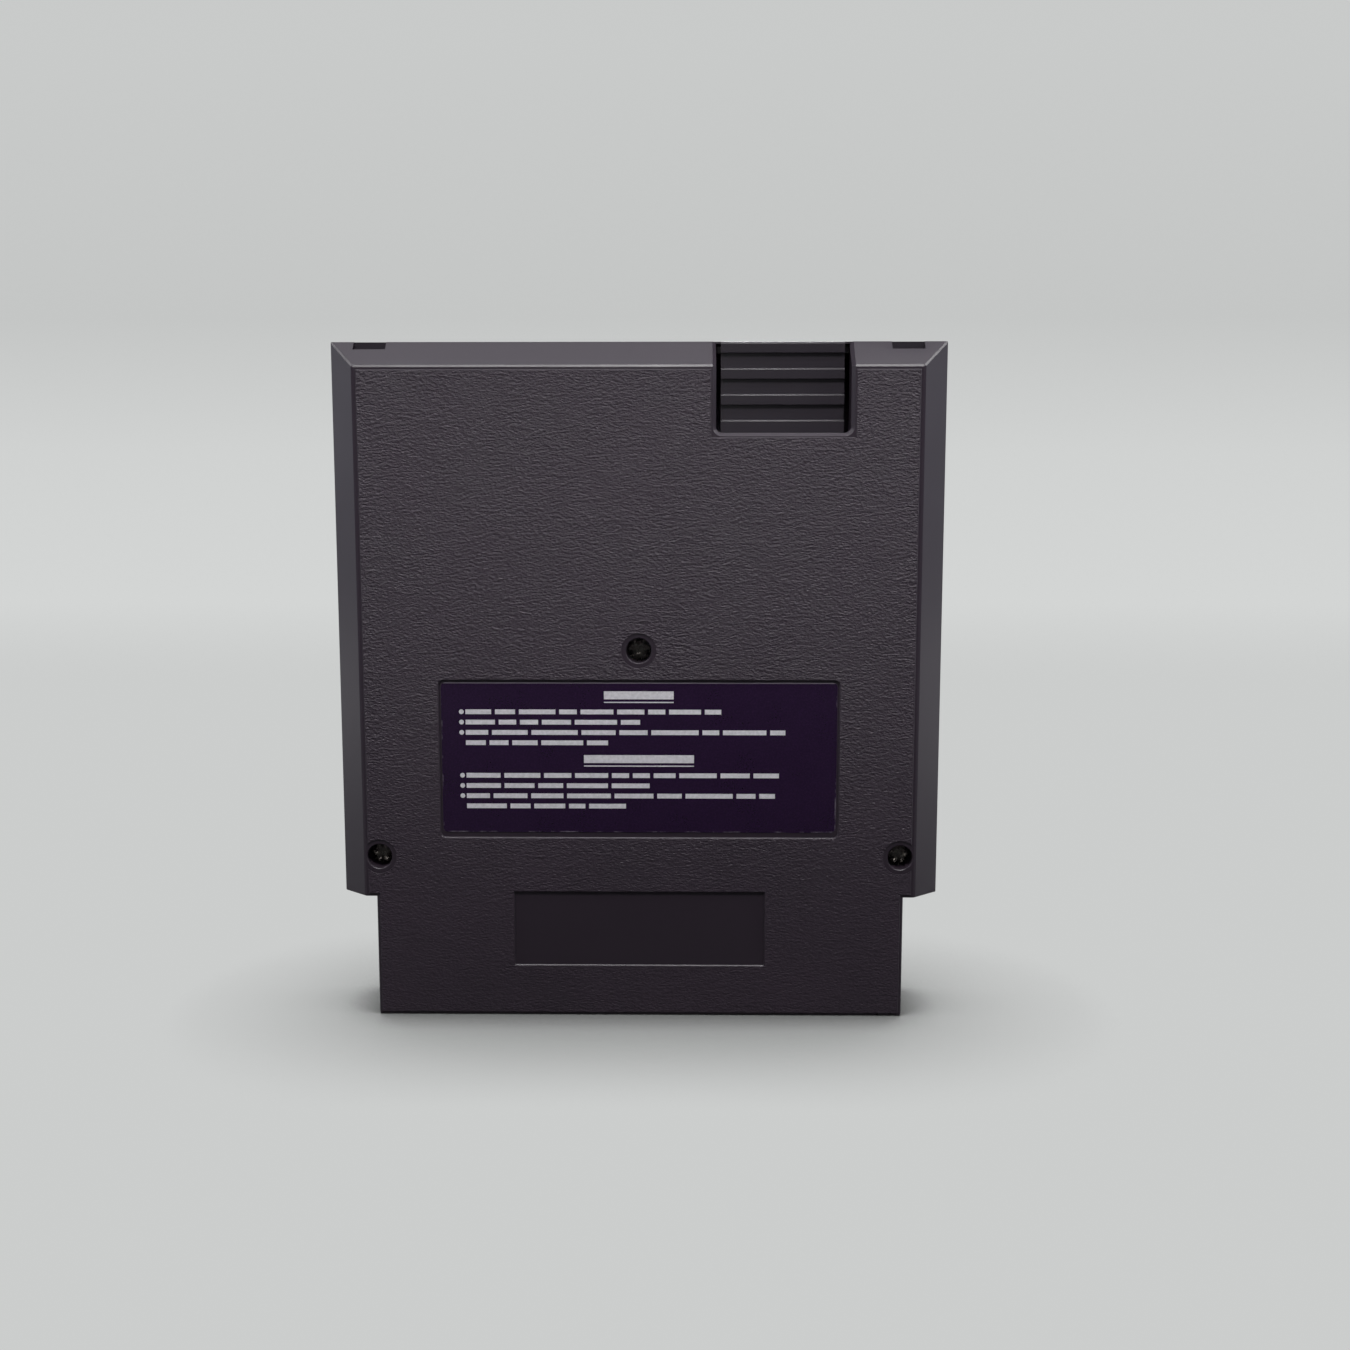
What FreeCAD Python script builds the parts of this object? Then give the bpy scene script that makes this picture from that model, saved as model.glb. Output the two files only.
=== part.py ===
import FreeCAD, Part
import math
import os
import re
import Sketcher

# A game cartridge in two moulded halves round a circuit board with an edge connector.
# Frame: +Z up from the rim of the connector mouth, the rear face toward -Y, X across.
# Places through the thickness are given rearward from the middle plane, so a place p lies at Y = -p.

# Driving sizes in millimetres.
SIZES = {
    # whole cartridge
    "width": 120,  # overall width
    "height": 134,  # overall height
    "thickness": 17,  # overall thickness
    "rear_depth": 5,  # depth of the rear half, face to parting plane
    "wall": 2,  # moulded wall
    "neck_inset": 7.25,  # step from the side to the neck
    "neck_height": 24.5,  # height of the neck up to the shoulders
    "edge_chamfer": 0.25,  # chamfer of the outer edges
    "bite": 0.5,  # how far a post or rib roots in the wall that carries it
    "overcut": 2,  # how far a cut runs past the face it opens
    # rear face
    "bevel_run": 5,  # width of the bevels, seen from the rear
    "bevel_drop": 4.4,  # depth of the bevels
    "field_rise": 0.2,  # rise of the grained field over its smooth border
    "field_edge": 0.15,  # chamfer of the field's rim
    "field_margin": 0.7,  # smooth border beside the bevels
    "neck_land": 0.3,  # flat left between a chamfered edge and the field
    "name_width": 50,  # width of the name recess
    "name_height": 15,  # height of the name recess
    "name_base": 10.5,  # lower edge of the name recess
    "name_depth": 0.45,  # depth of the name recess
    "recess_edge": 0.2,  # chamfer of the recesses' rims
    "label_width": 79,  # width of the sticker recess
    "label_height": 31.5,  # height of the sticker recess
    "label_above_name": 11.2,  # step between the name and sticker recesses
    "label_depth": 0.5,  # depth of the sticker recess
    "label_corner": 1,  # corner radius of the sticker recess
    "label_gap": 0.4,  # margin of the sticker at its top and sides
    "label_foot": 1,  # margin of the sticker at its lower edge
    "label_thick": 0.12,  # thickness of the sticker
    "gate_across": 0.7,  # diameter of the gate mark
    "gate_inset": 4.9,  # gate mark to the neck's side
    "gate_level": 0.5,  # height of the gate mark
    "gate_depth": 0.5,  # depth of the gate mark
    # screws and their wells
    "well_bore": 4.9,  # bore of a screw well
    "well_land": 0.15,  # flat between a side well's rim and the bevel's edge
    "well_depth": 6.1,  # depth of a screw well
    "well_ring": 1,  # smooth ring round a well
    "well_edge": 0.15,  # chamfer of a well's rim
    "side_well_rise": 8.2,  # side wells above the shoulders
    "well_above_label": 5.9,  # centre well above the sticker recess
    "seat_wall": 1.5,  # wall under a screw head
    "boss_across": 8,  # diameter of the screw bosses
    "shank_across": 2.9,  # diameter of the screws
    "shank_gap": 0.15,  # clearance round a screw in the rear boss
    "shank_length": 8.5,  # screw length under its head
    "pilot_room": 1,  # free hole past the screw's tip
    "head_gap": 0.2,  # clearance round a screw's head in its well
    "head_height": 2.1,  # height of a screw's lobed head
    "lobe_depth": 0.45,  # depth of the flutes between a head's lobes
    "lobe_count": 6,  # lobes round a screw's head
    # thumb grip
    "grip_centre": 28.05,  # middle of the thumb window
    "grip_width": 26,  # width of the thumb window
    "grip_drop": 17.7,  # height of the thumb window, from the top
    "grip_corner": 1.2,  # corner radius of the thumb window
    "grip_edge": 0.7,  # chamfer round the thumb window
    "grip_land": 0.2,  # smooth border between that chamfer and the field
    "collar_wall": 1.6,  # wall that lines the thumb window
    "grip_gap": 0.95,  # gap beside the ribbed block
    "foot_gap": 0.25,  # gap under the ribbed block
    "notch_depth": 2,  # depth of the slots that carry those side gaps into the top wall
    "notch_roof": 0.4,  # wall left over those slots
    "rib_drop": 4.6,  # rib faces below the rear face
    "rib_relief": 0.6,  # how far the ribs stand out
    "rib_height": 2.1,  # height of a rib
    "rib_pitch": 4.97,  # spacing of the ribs
    "rib_back": 2,  # wall behind the ribs
    "rib_round": 0.45,  # rounding of a rib's upper edge
    "web_wall": 1.5,  # thickness of the webs behind the ribbed block
    # clips at the top edge
    "clip_inset": 7.7,  # clip to the side
    "clip_slot": 6.35,  # width of a clip slot
    "clip_depth": 1.76,  # depth of a clip slot from the parting plane
    "clip_gap": 0.4,  # clearance round a clip tab
    "clip_root": 4,  # length of a clip tab under the top wall
    "clip_thick": 1.4,  # thickness of a clip tab
    "clip_nub": 0.6,  # rise of the nub on a clip tab
    # front face and side grip
    "serration_pitch": 1.07,  # spacing of the side serrations
    "serration_count": 7,  # number of side serrations
    "serration_depth": 0.25,  # depth of a side serration
    "serration_top": 1.7,  # first serration below the top
    "serration_reach": 9,  # length of a serration from the parting plane
    "groove_width": 1.6,  # width of a front grip groove
    "groove_pitch": 4.4,  # spacing of the front grip grooves
    "groove_count": 6,  # number of front grip grooves
    "groove_depth": 0.8,  # depth of a front grip groove
    "groove_inset": 5,  # first front groove to the side
    "face_base": 37,  # lower end of the front grooves and front recess
    "face_width": 72,  # width of the front recess
    "face_inset": 12,  # front recess to the far side
    "face_depth": 0.3,  # depth of the front recess
    "face_reach": 9,  # reach of the front recess over the top edge
    "arrow_width": 10,  # width of the moulded arrow
    "arrow_height": 8.5,  # height of the moulded arrow
    "arrow_base": 8,  # tip of the moulded arrow above the rim
    "arrow_depth": 0.4,  # depth of the moulded arrow
    # circuit board and its seats
    "board_thick": 1.6,  # thickness of the circuit board
    "board_gap": 0.5,  # board to the screw bosses
    "board_recess": 5.5,  # connector edge inside the mouth
    "board_margin": 2,  # board past the memory chips
    "tongue_inset": 0.8,  # step from the board's side to its connector edge
    "tongue_top": 18,  # upper end of the connector edge
    "tongue_chamfer": 0.4,  # chamfer of the connector edge
    "contact_pitch": 2.5,  # spacing of the contacts
    "contact_width": 1.6,  # width of a contact
    "contact_length": 10,  # length of a contact
    "contact_thick": 0.06,  # thickness of a contact
    "contact_edge": 2,  # contacts to the connector edge's ends
    "rib_level": 20.5,  # lower side of the ribs across the mouth
    "rib_wall": 1.5,  # thickness of the ribs across the mouth
    "rib_gap": 0.3,  # gap between the rear half's rib and the neck's sides
    "peg_across": 3,  # diameter of a board peg
    "peg_gap": 0.1,  # clearance round a board peg
    "peg_rise": 1.6,  # height of a board peg behind the board
    "peg_inset": 5,  # board peg to the board's side
    "peg_drop": 10,  # board peg below the board's top
    "post_across": 6,  # side of the square posts that hold the board
    # parts on the board
    "chip_rise": 2,  # memory chips above the rib across the mouth
    "pin_pitch": 2.54,  # spacing of the chips' pins
    "pin_width": 0.6,  # width of a pin
    "pin_thick": 0.3,  # thickness of a pin
    "pin_tail": 1.2,  # length of pins and wires in front of the board
    "pin_hole": 0.8,  # side of a square hole for a pin or wire
    "chip_end": 1.5,  # chip body past its last pin
    "chip_height": 3.6,  # height of a chip body
    "chip_lift": 0.7,  # chip body above the board
    "chip_edge": 0.3,  # chamfer of a chip body
    "chip_mark": 2.4,  # width of the end notch in a chip body
    "chip_mark_depth": 0.5,  # depth of the end notch in a chip body
    "memory_pin_count": 14,  # pins in a row of a memory chip
    "memory_row": 15.24,  # spacing of a memory chip's rows
    "memory_body": 13.6,  # width of a memory chip's body
    "key_pin_count": 8,  # pins in a row of the key chip
    "key_row": 7.62,  # spacing of the key chip's rows
    "key_body": 6.3,  # width of the key chip's body
    "wire_across": 0.5,  # side of a capacitor's square wire
    "block_width": 4.4,  # width of a block capacitor
    "block_thick": 2.4,  # thickness of a block capacitor
    "block_height": 4,  # height of a block capacitor
    "block_edge": 0.5,  # chamfer of a block capacitor
    "block_lift": 0.6,  # block capacitor above the board
    "block_wires": 2.5,  # spacing of a block capacitor's wires
    "can_across": 5,  # diameter of the supply capacitor
    "can_length": 11,  # length of the supply capacitor
    "can_lift": 0.05,  # supply capacitor above the board
    "can_crimp": 0.3,  # depth of the supply capacitor's crimp
    "can_lip": 0.6,  # rim of the supply capacitor round its seal
    "seal_depth": 0.8,  # thickness of the supply capacitor's seal
    "can_wires": 2,  # spacing of the supply capacitor's wires
    "wire_run": 1.2,  # straight run of those wires before the bend
}

# Levels through the thickness.
REAR = "(thickness / 2)"
FRONT = "(-thickness / 2)"
BORDER = f"({REAR} - field_rise)"
PARTING = f"({REAR} - rear_depth)"
LAND = f"({BORDER} - bevel_drop)"
REAR_INSIDE = f"({BORDER} - wall)"
FRONT_INSIDE = f"({FRONT} + wall)"
WELL_FLOOR = f"({REAR} - well_depth)"
BOSS_END = f"({WELL_FLOOR} - seat_wall)"
BOARD_REAR = "(board_thick / 2)"
BOARD_FRONT = "(-board_thick / 2)"
TAIL_END = f"({BOARD_FRONT} - pin_tail)"
CREST = f"({REAR} - rib_drop)"
VALLEY = f"({CREST} - rib_relief)"
GRIP_BACK = f"({VALLEY} - rib_back)"
LABEL_FLOOR = f"({REAR} - label_depth)"

# Outline of the halves.
SIDE = "(width / 2)"
NECK = f"({SIDE} - neck_inset)"
NECK_INSIDE = f"({NECK} - wall)"
FLAT = f"({SIDE} - bevel_run)"
FLAT_TOP = "(height - bevel_run)"
SHOULDER_INSIDE = "(neck_height + wall)"
SLOPE = "(bevel_run / bevel_drop)"
SLOPED_WALL = "(wall * sqrt(bevel_run ^ 2 + bevel_drop ^ 2) / bevel_drop)"
NECK_BORDER = "(edge_chamfer + neck_land)"

# Features of the rear face.
NAME_TOP = "(name_base + name_height)"
LABEL_LOW = f"({NAME_TOP} + label_above_name)"
LABEL_TOP = f"({LABEL_LOW} + label_height)"
WELL_SIDE = f"({FLAT} - edge_chamfer - well_land - well_edge - well_bore / 2)"
WELL_LOW = "(neck_height + side_well_rise)"
WELL_CENTRE = f"({LABEL_TOP} + well_above_label)"
WELLS = [("0", WELL_CENTRE), (f"-{WELL_SIDE}", WELL_LOW), (WELL_SIDE, WELL_LOW)]
GRIP_LEFT = "(grip_centre - grip_width / 2)"
GRIP_RIGHT = "(grip_centre + grip_width / 2)"
GRIP_BASE = "(height - grip_drop)"
GRIP_BORDER = "(grip_edge + grip_land)"
GRIP_FOOT = f"({GRIP_BASE} + foot_gap)"
CLIP = f"({SIDE} - clip_inset)"
CLIP_TAB = "(clip_slot - 2 * clip_gap)"

# The board and what stands on it.
BOARD = f"({WELL_SIDE} - boss_across / 2 - board_gap)"
TONGUE = f"({BOARD} - tongue_inset)"
RIB_TOP = "(rib_level + rib_wall)"
CHIP_LOW = f"({RIB_TOP} + chip_rise)"
MEMORY_LENGTH = "((memory_pin_count - 1) * pin_pitch + 2 * chip_end)"
KEY_LENGTH = "((key_pin_count - 1) * pin_pitch + 2 * chip_end)"
BOARD_TOP = f"({CHIP_LOW} + {MEMORY_LENGTH} + board_margin)"
PEG = f"({BOARD} - peg_inset)"
PEG_LEVEL = f"({BOARD_TOP} - peg_drop)"
# Seven equal spaces lie between the two posts and the six parts in a row between them.
FIRST_POST = f"(post_across / 2 - {PEG})"
PARTS_WIDE = "(2 * memory_row + 2 * block_thick + key_row + can_across)"
PART_ROOM = f"((-2 * {FIRST_POST} - {PARTS_WIDE}) / 7)"
PROGRAM = f"({FIRST_POST} + {PART_ROOM} + memory_row / 2)"
PROGRAM_BLOCK = f"({PROGRAM} + memory_row / 2 + {PART_ROOM} + block_thick / 2)"
PICTURE = f"({PROGRAM_BLOCK} + block_thick / 2 + {PART_ROOM} + memory_row / 2)"
PICTURE_BLOCK = f"({PICTURE} + memory_row / 2 + {PART_ROOM} + block_thick / 2)"
KEY = f"({PICTURE_BLOCK} + block_thick / 2 + {PART_ROOM} + key_row / 2)"
SUPPLY = f"({KEY} + key_row / 2 + {PART_ROOM} + can_across / 2)"
KEY_LOW = f"({CHIP_LOW} + {MEMORY_LENGTH} - {KEY_LENGTH})"
BLOCK_LEVEL = f"({BOARD_TOP} - block_width)"
CAN_PLACE = f"({BOARD_REAR} + can_lift + can_across / 2)"
CAN_TOP = f"({CHIP_LOW} + can_length)"
CAN_WIRE_LEVEL = f"({CAN_TOP} + wire_run + wire_across / 2)"

NEAR = FreeCAD.Base.Precision.approximation()
EVERYWHERE = "ThroughAll"

doc = FreeCAD.newDocument("game_cartridge")
sheet = doc.addObject("Spreadsheet::Sheet", "Sizes")
for row, (alias, size) in enumerate(SIZES.items(), 1):
    sheet.set(f"A{row}", alias)
    sheet.set(f"B{row}", str(size))
    sheet.setAlias(f"B{row}", alias)
doc.recompute()


def bound(text):
    """The expression with each size's name pointing at its cell of the sheet."""
    return re.sub(r"[a-z]\w+", lambda word: f"Sizes.{word[0]}" if word[0] in SIZES else word[0], text)


def value(text):
    return float(sheet.evalExpression(bound(text)))


def is_near(number, text):
    return abs(number - value(text)) < NEAR


# Sketches.


def new_body(name):
    body = doc.addObject("PartDesign::Body", name)
    body.Label = name
    return body


def origin(body, role):
    return next(item for item in body.Origin.OriginFeatures if item.Role == role)


def sketch(body, name, role, offset):
    """A sketch on one of the body's own planes, moved along the plane's normal."""
    drawn = body.newObject("Sketcher::SketchObject", name)
    drawn.AttachmentSupport = (origin(body, role), [""])
    drawn.MapMode = "FlatFace"
    drawn.setExpression("AttachmentOffset.Base.z", bound(offset))
    return drawn


def back_sketch(body, name, place):
    """A sketch in X and Z that looks rearward, at a place through the thickness."""
    return sketch(body, name, "XZ_Plane", place)


def side_sketch(body, name, x):
    """A sketch in Y and Z that looks along +X."""
    return sketch(body, name, "YZ_Plane", x)


def level_sketch(body, name, z):
    """A sketch in X and Y that looks up."""
    return sketch(body, name, "XY_Plane", z)


def hold(drawn, geometry, point, across, up):
    """Tie one point of a sketch to two expressions."""
    for kind, text in (("DistanceX", across), ("DistanceY", up)):
        index = drawn.addConstraint(Sketcher.Constraint(kind, -1, 1, geometry, point, value(text)))
        drawn.setExpression(f"Constraints[{index}]", bound(text))


def polygon(drawn, corners):
    points = [FreeCAD.Vector(value(across), value(up), 0) for across, up in corners]
    first = drawn.GeometryCount
    count = len(points)
    for n, start in enumerate(points):
        drawn.addGeometry(Part.LineSegment(start, points[(n + 1) % count]))
    for n, (across, up) in enumerate(corners):
        following = first + (n + 1) % count
        drawn.addConstraint(Sketcher.Constraint("Coincident", first + n, 2, following, 1))
        hold(drawn, first + n, 1, across, up)


def rectangle(drawn, left, right, low, top):
    polygon(drawn, [(left, low), (right, low), (right, top), (left, top)])


def square(drawn, across, up, side):
    half = f"{side} / 2"
    rectangle(drawn, f"{across} - {half}", f"{across} + {half}", f"{up} - {half}", f"{up} + {half}")


def circle(drawn, across, up, diameter):
    centre = FreeCAD.Vector(value(across), value(up), 0)
    up_axis = FreeCAD.Vector(0, 0, 1)
    index = drawn.addGeometry(Part.Circle(centre, up_axis, value(diameter) / 2))
    hold(drawn, index, 3, across, up)
    rule = drawn.addConstraint(Sketcher.Constraint("Diameter", index, value(diameter)))
    drawn.setExpression(f"Constraints[{rule}]", bound(diameter))


def rearward(place):
    """A place through the thickness as the first coordinate of a side sketch."""
    return f"-{place}"


# Features.


def pad(body, name, drawn, length, backward=False, symmetric=False):
    feature = body.newObject("PartDesign::Pad", name)
    feature.Profile = drawn
    feature.setExpression("Length", bound(length))
    feature.Reversed = backward
    if symmetric:
        feature.SideType = "Symmetric"
    return feature


def pocket(body, name, drawn, length, backward=False, symmetric=False):
    """A cut against the sketch's normal, or along it where backward; it has to take something away."""
    doc.recompute()
    before = body.Shape.Volume
    feature = body.newObject("PartDesign::Pocket", name)
    feature.Profile = drawn
    if length == EVERYWHERE:
        feature.Type = EVERYWHERE
    else:
        feature.setExpression("Length", bound(length))
    feature.Reversed = backward
    if symmetric:
        feature.SideType = "Symmetric"
    doc.recompute()
    if body.Shape.Volume > before - NEAR:
        raise RuntimeError(f"{name} cuts nothing")
    return feature


def row_of(body, name, feature, role, pitch, count, backward=False):
    """Repeat a feature along one of the body's axes."""
    pattern = body.newObject("PartDesign::LinearPattern", name)
    pattern.Originals = [feature]
    pattern.Direction = (origin(body, role), [""])
    pattern.Reversed = backward
    pattern.setExpression("Length", bound(f"{pitch} * ({count} - 1)"))
    pattern.setExpression("Occurrences", bound(count))
    body.Tip = pattern
    return pattern


def edge_names(shape, wanted):
    return [f"Edge{n}" for n, edge in enumerate(shape.Edges, 1) if wanted(edge)]


def dress(body, kind, name, size_property, size, wanted):
    """Round or chamfer the edges of the body that pass the test."""
    doc.recompute()
    base = body.Tip
    names = edge_names(base.Shape, wanted)
    if not names:
        raise RuntimeError(f"{name} finds no edge")
    feature = body.newObject(f"PartDesign::{kind}", name)
    feature.Base = (base, names)
    feature.setExpression(size_property, bound(size))
    doc.recompute()
    return feature


def round_edges(body, name, radius, wanted):
    return dress(body, "Fillet", name, "Radius", radius, wanted)


def chamfer_edges(body, name, size, wanted):
    return dress(body, "Chamfer", name, "Size", size, wanted)


def ends(edge):
    return [vertex.Point for vertex in edge.Vertexes]


def touches(edge, place):
    """Whether an end of the edge lies at a place through the thickness."""
    return any(is_near(-point.y, place) for point in ends(edge))


def lies_at(edge, place):
    """Whether the whole edge lies at a place through the thickness."""
    return all(is_near(-point.y, place) for point in ends(edge))


def is_circle(edge):
    return not edge.Degenerated and isinstance(edge.Curve, Part.Circle)


def runs_through(edge):
    """Whether the edge runs straight through the thickness."""
    start, end = edge.firstVertex().Point, edge.lastVertex().Point
    return math.hypot(start.x - end.x, start.z - end.z) < NEAR


def is_neck_corner(edge):
    """The inner corner where the neck meets a shoulder."""
    points = ends(edge)
    return all(is_near(abs(point.x), NECK) and is_near(point.z, "neck_height") for point in points)


def shell_outline(drawn, side, top, shoulder, neck, low):
    """The halves' T-shaped outline."""
    polygon(drawn, [
        (f"-{side}", shoulder), (f"-{neck}", shoulder), (f"-{neck}", low), (neck, low),
        (neck, shoulder), (side, shoulder), (side, top), (f"-{side}", top),
    ])


def circles(drawn, centres, diameter):
    for across, up in centres:
        circle(drawn, across, up, diameter)


def squares(drawn, centres, side):
    for across, up in centres:
        square(drawn, across, up, side)


PEGS = [(f"-{PEG}", PEG_LEVEL), (PEG, PEG_LEVEL)]


# Rear half.


def rear_shell():
    body = new_body("rear_shell")
    drawn = back_sketch(body, "rear_outline", PARTING)
    shell_outline(drawn, SIDE, "height", "neck_height", NECK, "0")
    pad(body, "rear_block", drawn, f"{BORDER} - {PARTING}")
    rear_cavity(body)
    rear_supports(body)
    rear_bevels(body)
    drawn = back_sketch(body, "grip_outline", REAR)
    rectangle(drawn, GRIP_LEFT, GRIP_RIGHT, GRIP_BASE, "height + overcut")
    pocket(body, "grip_window", drawn, EVERYWHERE)
    round_edges(body, "grip_corners", "grip_corner", is_window_corner)
    chamfer_edges(body, "grip_rim", "grip_edge", is_window_rim)
    chamfer_edges(body, "rear_edges", "edge_chamfer", is_rear_edge)
    rear_field(body)
    rear_wells(body)
    rear_recesses(body)
    return body


def rear_cavity(body):
    """Hollow with walls of one thickness, sloped like the bevels outside."""
    sections = []
    for name, place in (("rear_cavity_mouth", PARTING), ("rear_cavity_floor", REAR_INSIDE)):
        inset = f"({SLOPED_WALL} + ({place} - {LAND}) * {SLOPE})"
        drawn = back_sketch(body, name, place)
        shell_outline(drawn, f"({SIDE} - {inset})", f"(height - {inset})", SHOULDER_INSIDE,
                      NECK_INSIDE, "-overcut")
        sections.append(drawn)
    cavity = body.newObject("PartDesign::SubtractiveLoft", "rear_cavity")
    cavity.Profile = sections[0]
    cavity.Sections = sections[1:]
    cavity.Ruled = True
    doc.recompute()


def rear_supports(body):
    """Lining of the thumb window, screw bosses, board posts and the rib across the mouth."""
    drawn = back_sketch(body, "collar_outline", PARTING)
    rectangle(drawn, f"{GRIP_LEFT} - collar_wall", f"{GRIP_RIGHT} + collar_wall",
              f"{GRIP_BASE} - collar_wall", "height")
    pad(body, "collar", drawn, f"{REAR_INSIDE} - {PARTING} + bite")
    drawn = back_sketch(body, "rear_boss_outline", BOSS_END)
    circles(drawn, WELLS, "boss_across")
    pad(body, "rear_bosses", drawn, f"{REAR_INSIDE} - {BOSS_END} + bite")
    drawn = back_sketch(body, "rear_post_outline", BOARD_REAR)
    squares(drawn, PEGS, "post_across")
    pad(body, "rear_posts", drawn, f"{REAR_INSIDE} - {BOARD_REAR} + bite")
    drawn = back_sketch(body, "rear_post_bore_outline", BOARD_REAR)
    circles(drawn, PEGS, "(peg_across + 2 * peg_gap)")
    pocket(body, "rear_post_bores", drawn, "peg_rise + bite", backward=True)
    drawn = back_sketch(body, "rear_rib_outline", BOARD_REAR)
    rectangle(drawn, f"rib_gap - {NECK_INSIDE}", f"{NECK_INSIDE} - rib_gap", "rib_level", RIB_TOP)
    pad(body, "rear_rib", drawn, f"{REAR_INSIDE} - {BOARD_REAR} + bite")


def rear_bevels(body):
    drawn = level_sketch(body, "side_bevel_outline", "neck_height")
    beyond = f"{REAR} + overcut"
    for sign in ("-", ""):
        foot = f"{sign}({SIDE} + overcut)"
        low = f"-({LAND} - overcut / {SLOPE})"
        head = f"{sign}({FLAT} - field_rise * {SLOPE} - overcut * {SLOPE})"
        polygon(drawn, [(foot, low), (foot, f"-({beyond})"), (head, f"-({beyond})")])
    pocket(body, "side_bevels", drawn, "height", backward=True)
    drawn = side_sketch(body, "top_bevel_outline", "0")
    polygon(drawn, [
        (f"-({LAND} - overcut / {SLOPE})", "height + overcut"),
        (f"-({beyond})", "height + overcut"),
        (f"-({beyond})", f"{FLAT_TOP} - field_rise * {SLOPE} - overcut * {SLOPE}"),
    ])
    pocket(body, "top_bevel", drawn, "width", symmetric=True)


def is_window_corner(edge):
    start = edge.firstVertex().Point
    on_side = is_near(start.x, GRIP_LEFT) or is_near(start.x, GRIP_RIGHT)
    return runs_through(edge) and on_side and is_near(start.z, GRIP_BASE)


def is_in_window(edge, margin):
    """Whether the edge lies in the thumb window or within a margin of it."""
    left, right = value(f"{GRIP_LEFT} - {margin}") - NEAR, value(f"{GRIP_RIGHT} + {margin}") + NEAR
    low = value(f"{GRIP_BASE} - {margin}") - NEAR
    return all(left < point.x < right and low < point.z for point in ends(edge))


def is_window_rim(edge):
    return is_in_window(edge, "0") and touches(edge, BORDER) and not runs_through(edge)


def is_rear_edge(edge):
    """An edge of the rear face or its bevels, or a corner of the mouth, but no inner corner of the neck."""
    if is_neck_corner(edge) or is_in_window(edge, "grip_edge") or not touches(edge, BORDER):
        return False
    return not runs_through(edge) or is_near(edge.firstVertex().Point.z, "0")


def rear_field(body):
    """The grained field, a little proud of its smooth border."""
    drawn = back_sketch(body, "field_outline", BORDER)
    neck = f"({NECK} - {NECK_BORDER})"
    side = f"({FLAT} - field_margin)"
    top = f"{FLAT_TOP} - field_margin"
    shoulder = f"neck_height + {NECK_BORDER}"
    left = f"{GRIP_LEFT} - {GRIP_BORDER}"
    right = f"{GRIP_RIGHT} + {GRIP_BORDER}"
    base = f"{GRIP_BASE} - {GRIP_BORDER}"
    polygon(drawn, [
        (f"-{neck}", NECK_BORDER), (neck, NECK_BORDER), (neck, shoulder), (side, shoulder),
        (side, top), (right, top), (right, base), (left, base), (left, top),
        (f"-{side}", top), (f"-{side}", shoulder), (f"-{neck}", shoulder),
    ])
    pad(body, "field", drawn, "field_rise")
    chamfer_edges(body, "field_rim", "field_edge", is_field_rim)


def is_field_rim(edge):
    return lies_at(edge, REAR)


def rear_wells(body):
    drawn = back_sketch(body, "well_ring_outline", REAR)
    circles(drawn, WELLS, "(well_bore + 2 * well_ring)")
    pocket(body, "well_rings", drawn, "field_rise")
    drawn = back_sketch(body, "well_outline", REAR)
    circles(drawn, WELLS, "well_bore")
    pocket(body, "wells", drawn, "well_depth")
    drawn = back_sketch(body, "shank_hole_outline", WELL_FLOOR)
    circles(drawn, WELLS, "(shank_across + 2 * shank_gap)")
    pocket(body, "shank_holes", drawn, "seat_wall + overcut")
    chamfer_edges(body, "well_rims", "well_edge", is_well_rim)


def is_well_rim(edge):
    return is_circle(edge) and lies_at(edge, BORDER) and is_near(edge.Curve.Radius, "well_bore / 2")


def rear_recesses(body):
    drawn = back_sketch(body, "name_outline", REAR)
    rectangle(drawn, "-name_width / 2", "name_width / 2", "name_base", NAME_TOP)
    pocket(body, "name_recess", drawn, "name_depth")
    drawn = back_sketch(body, "label_outline", REAR)
    rectangle(drawn, "-label_width / 2", "label_width / 2", LABEL_LOW, LABEL_TOP)
    pocket(body, "label_recess", drawn, "label_depth")
    round_edges(body, "label_corners", "label_corner", is_label_corner)
    chamfer_edges(body, "recess_rims", "recess_edge", is_recess_rim)
    drawn = back_sketch(body, "gate_outline", BORDER)
    circle(drawn, f"{NECK} - gate_inset", "gate_level", "gate_across")
    pocket(body, "gate_mark", drawn, "gate_depth")
    drawn = back_sketch(body, "clip_slot_outline", PARTING)
    for sign in ("-", ""):
        inner = f"{sign}({CLIP} - clip_slot / 2)"
        outer = f"{sign}({CLIP} + clip_slot / 2)"
        rectangle(drawn, inner, outer, f"height - 2 * {SLOPED_WALL}", "height + overcut")
    pocket(body, "clip_slots", drawn, "clip_depth", backward=True)


def is_label_corner(edge):
    start = edge.firstVertex().Point
    level = is_near(start.z, LABEL_LOW) or is_near(start.z, LABEL_TOP)
    return runs_through(edge) and is_near(abs(start.x), "label_width / 2") and level


def is_recess_rim(edge):
    """A rim of the sticker or name recess on the field's face."""
    if not lies_at(edge, REAR):
        return False
    middle = edge.BoundBox.Center
    label_half = value("label_width / 2") + NEAR
    name_half = value("name_width / 2") + NEAR
    in_label = value(LABEL_LOW) - NEAR < middle.z < value(LABEL_TOP) + NEAR and abs(middle.x) < label_half
    in_name = value("name_base") - NEAR < middle.z < value(NAME_TOP) + NEAR and abs(middle.x) < name_half
    return in_label or in_name


# Front half.


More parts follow.
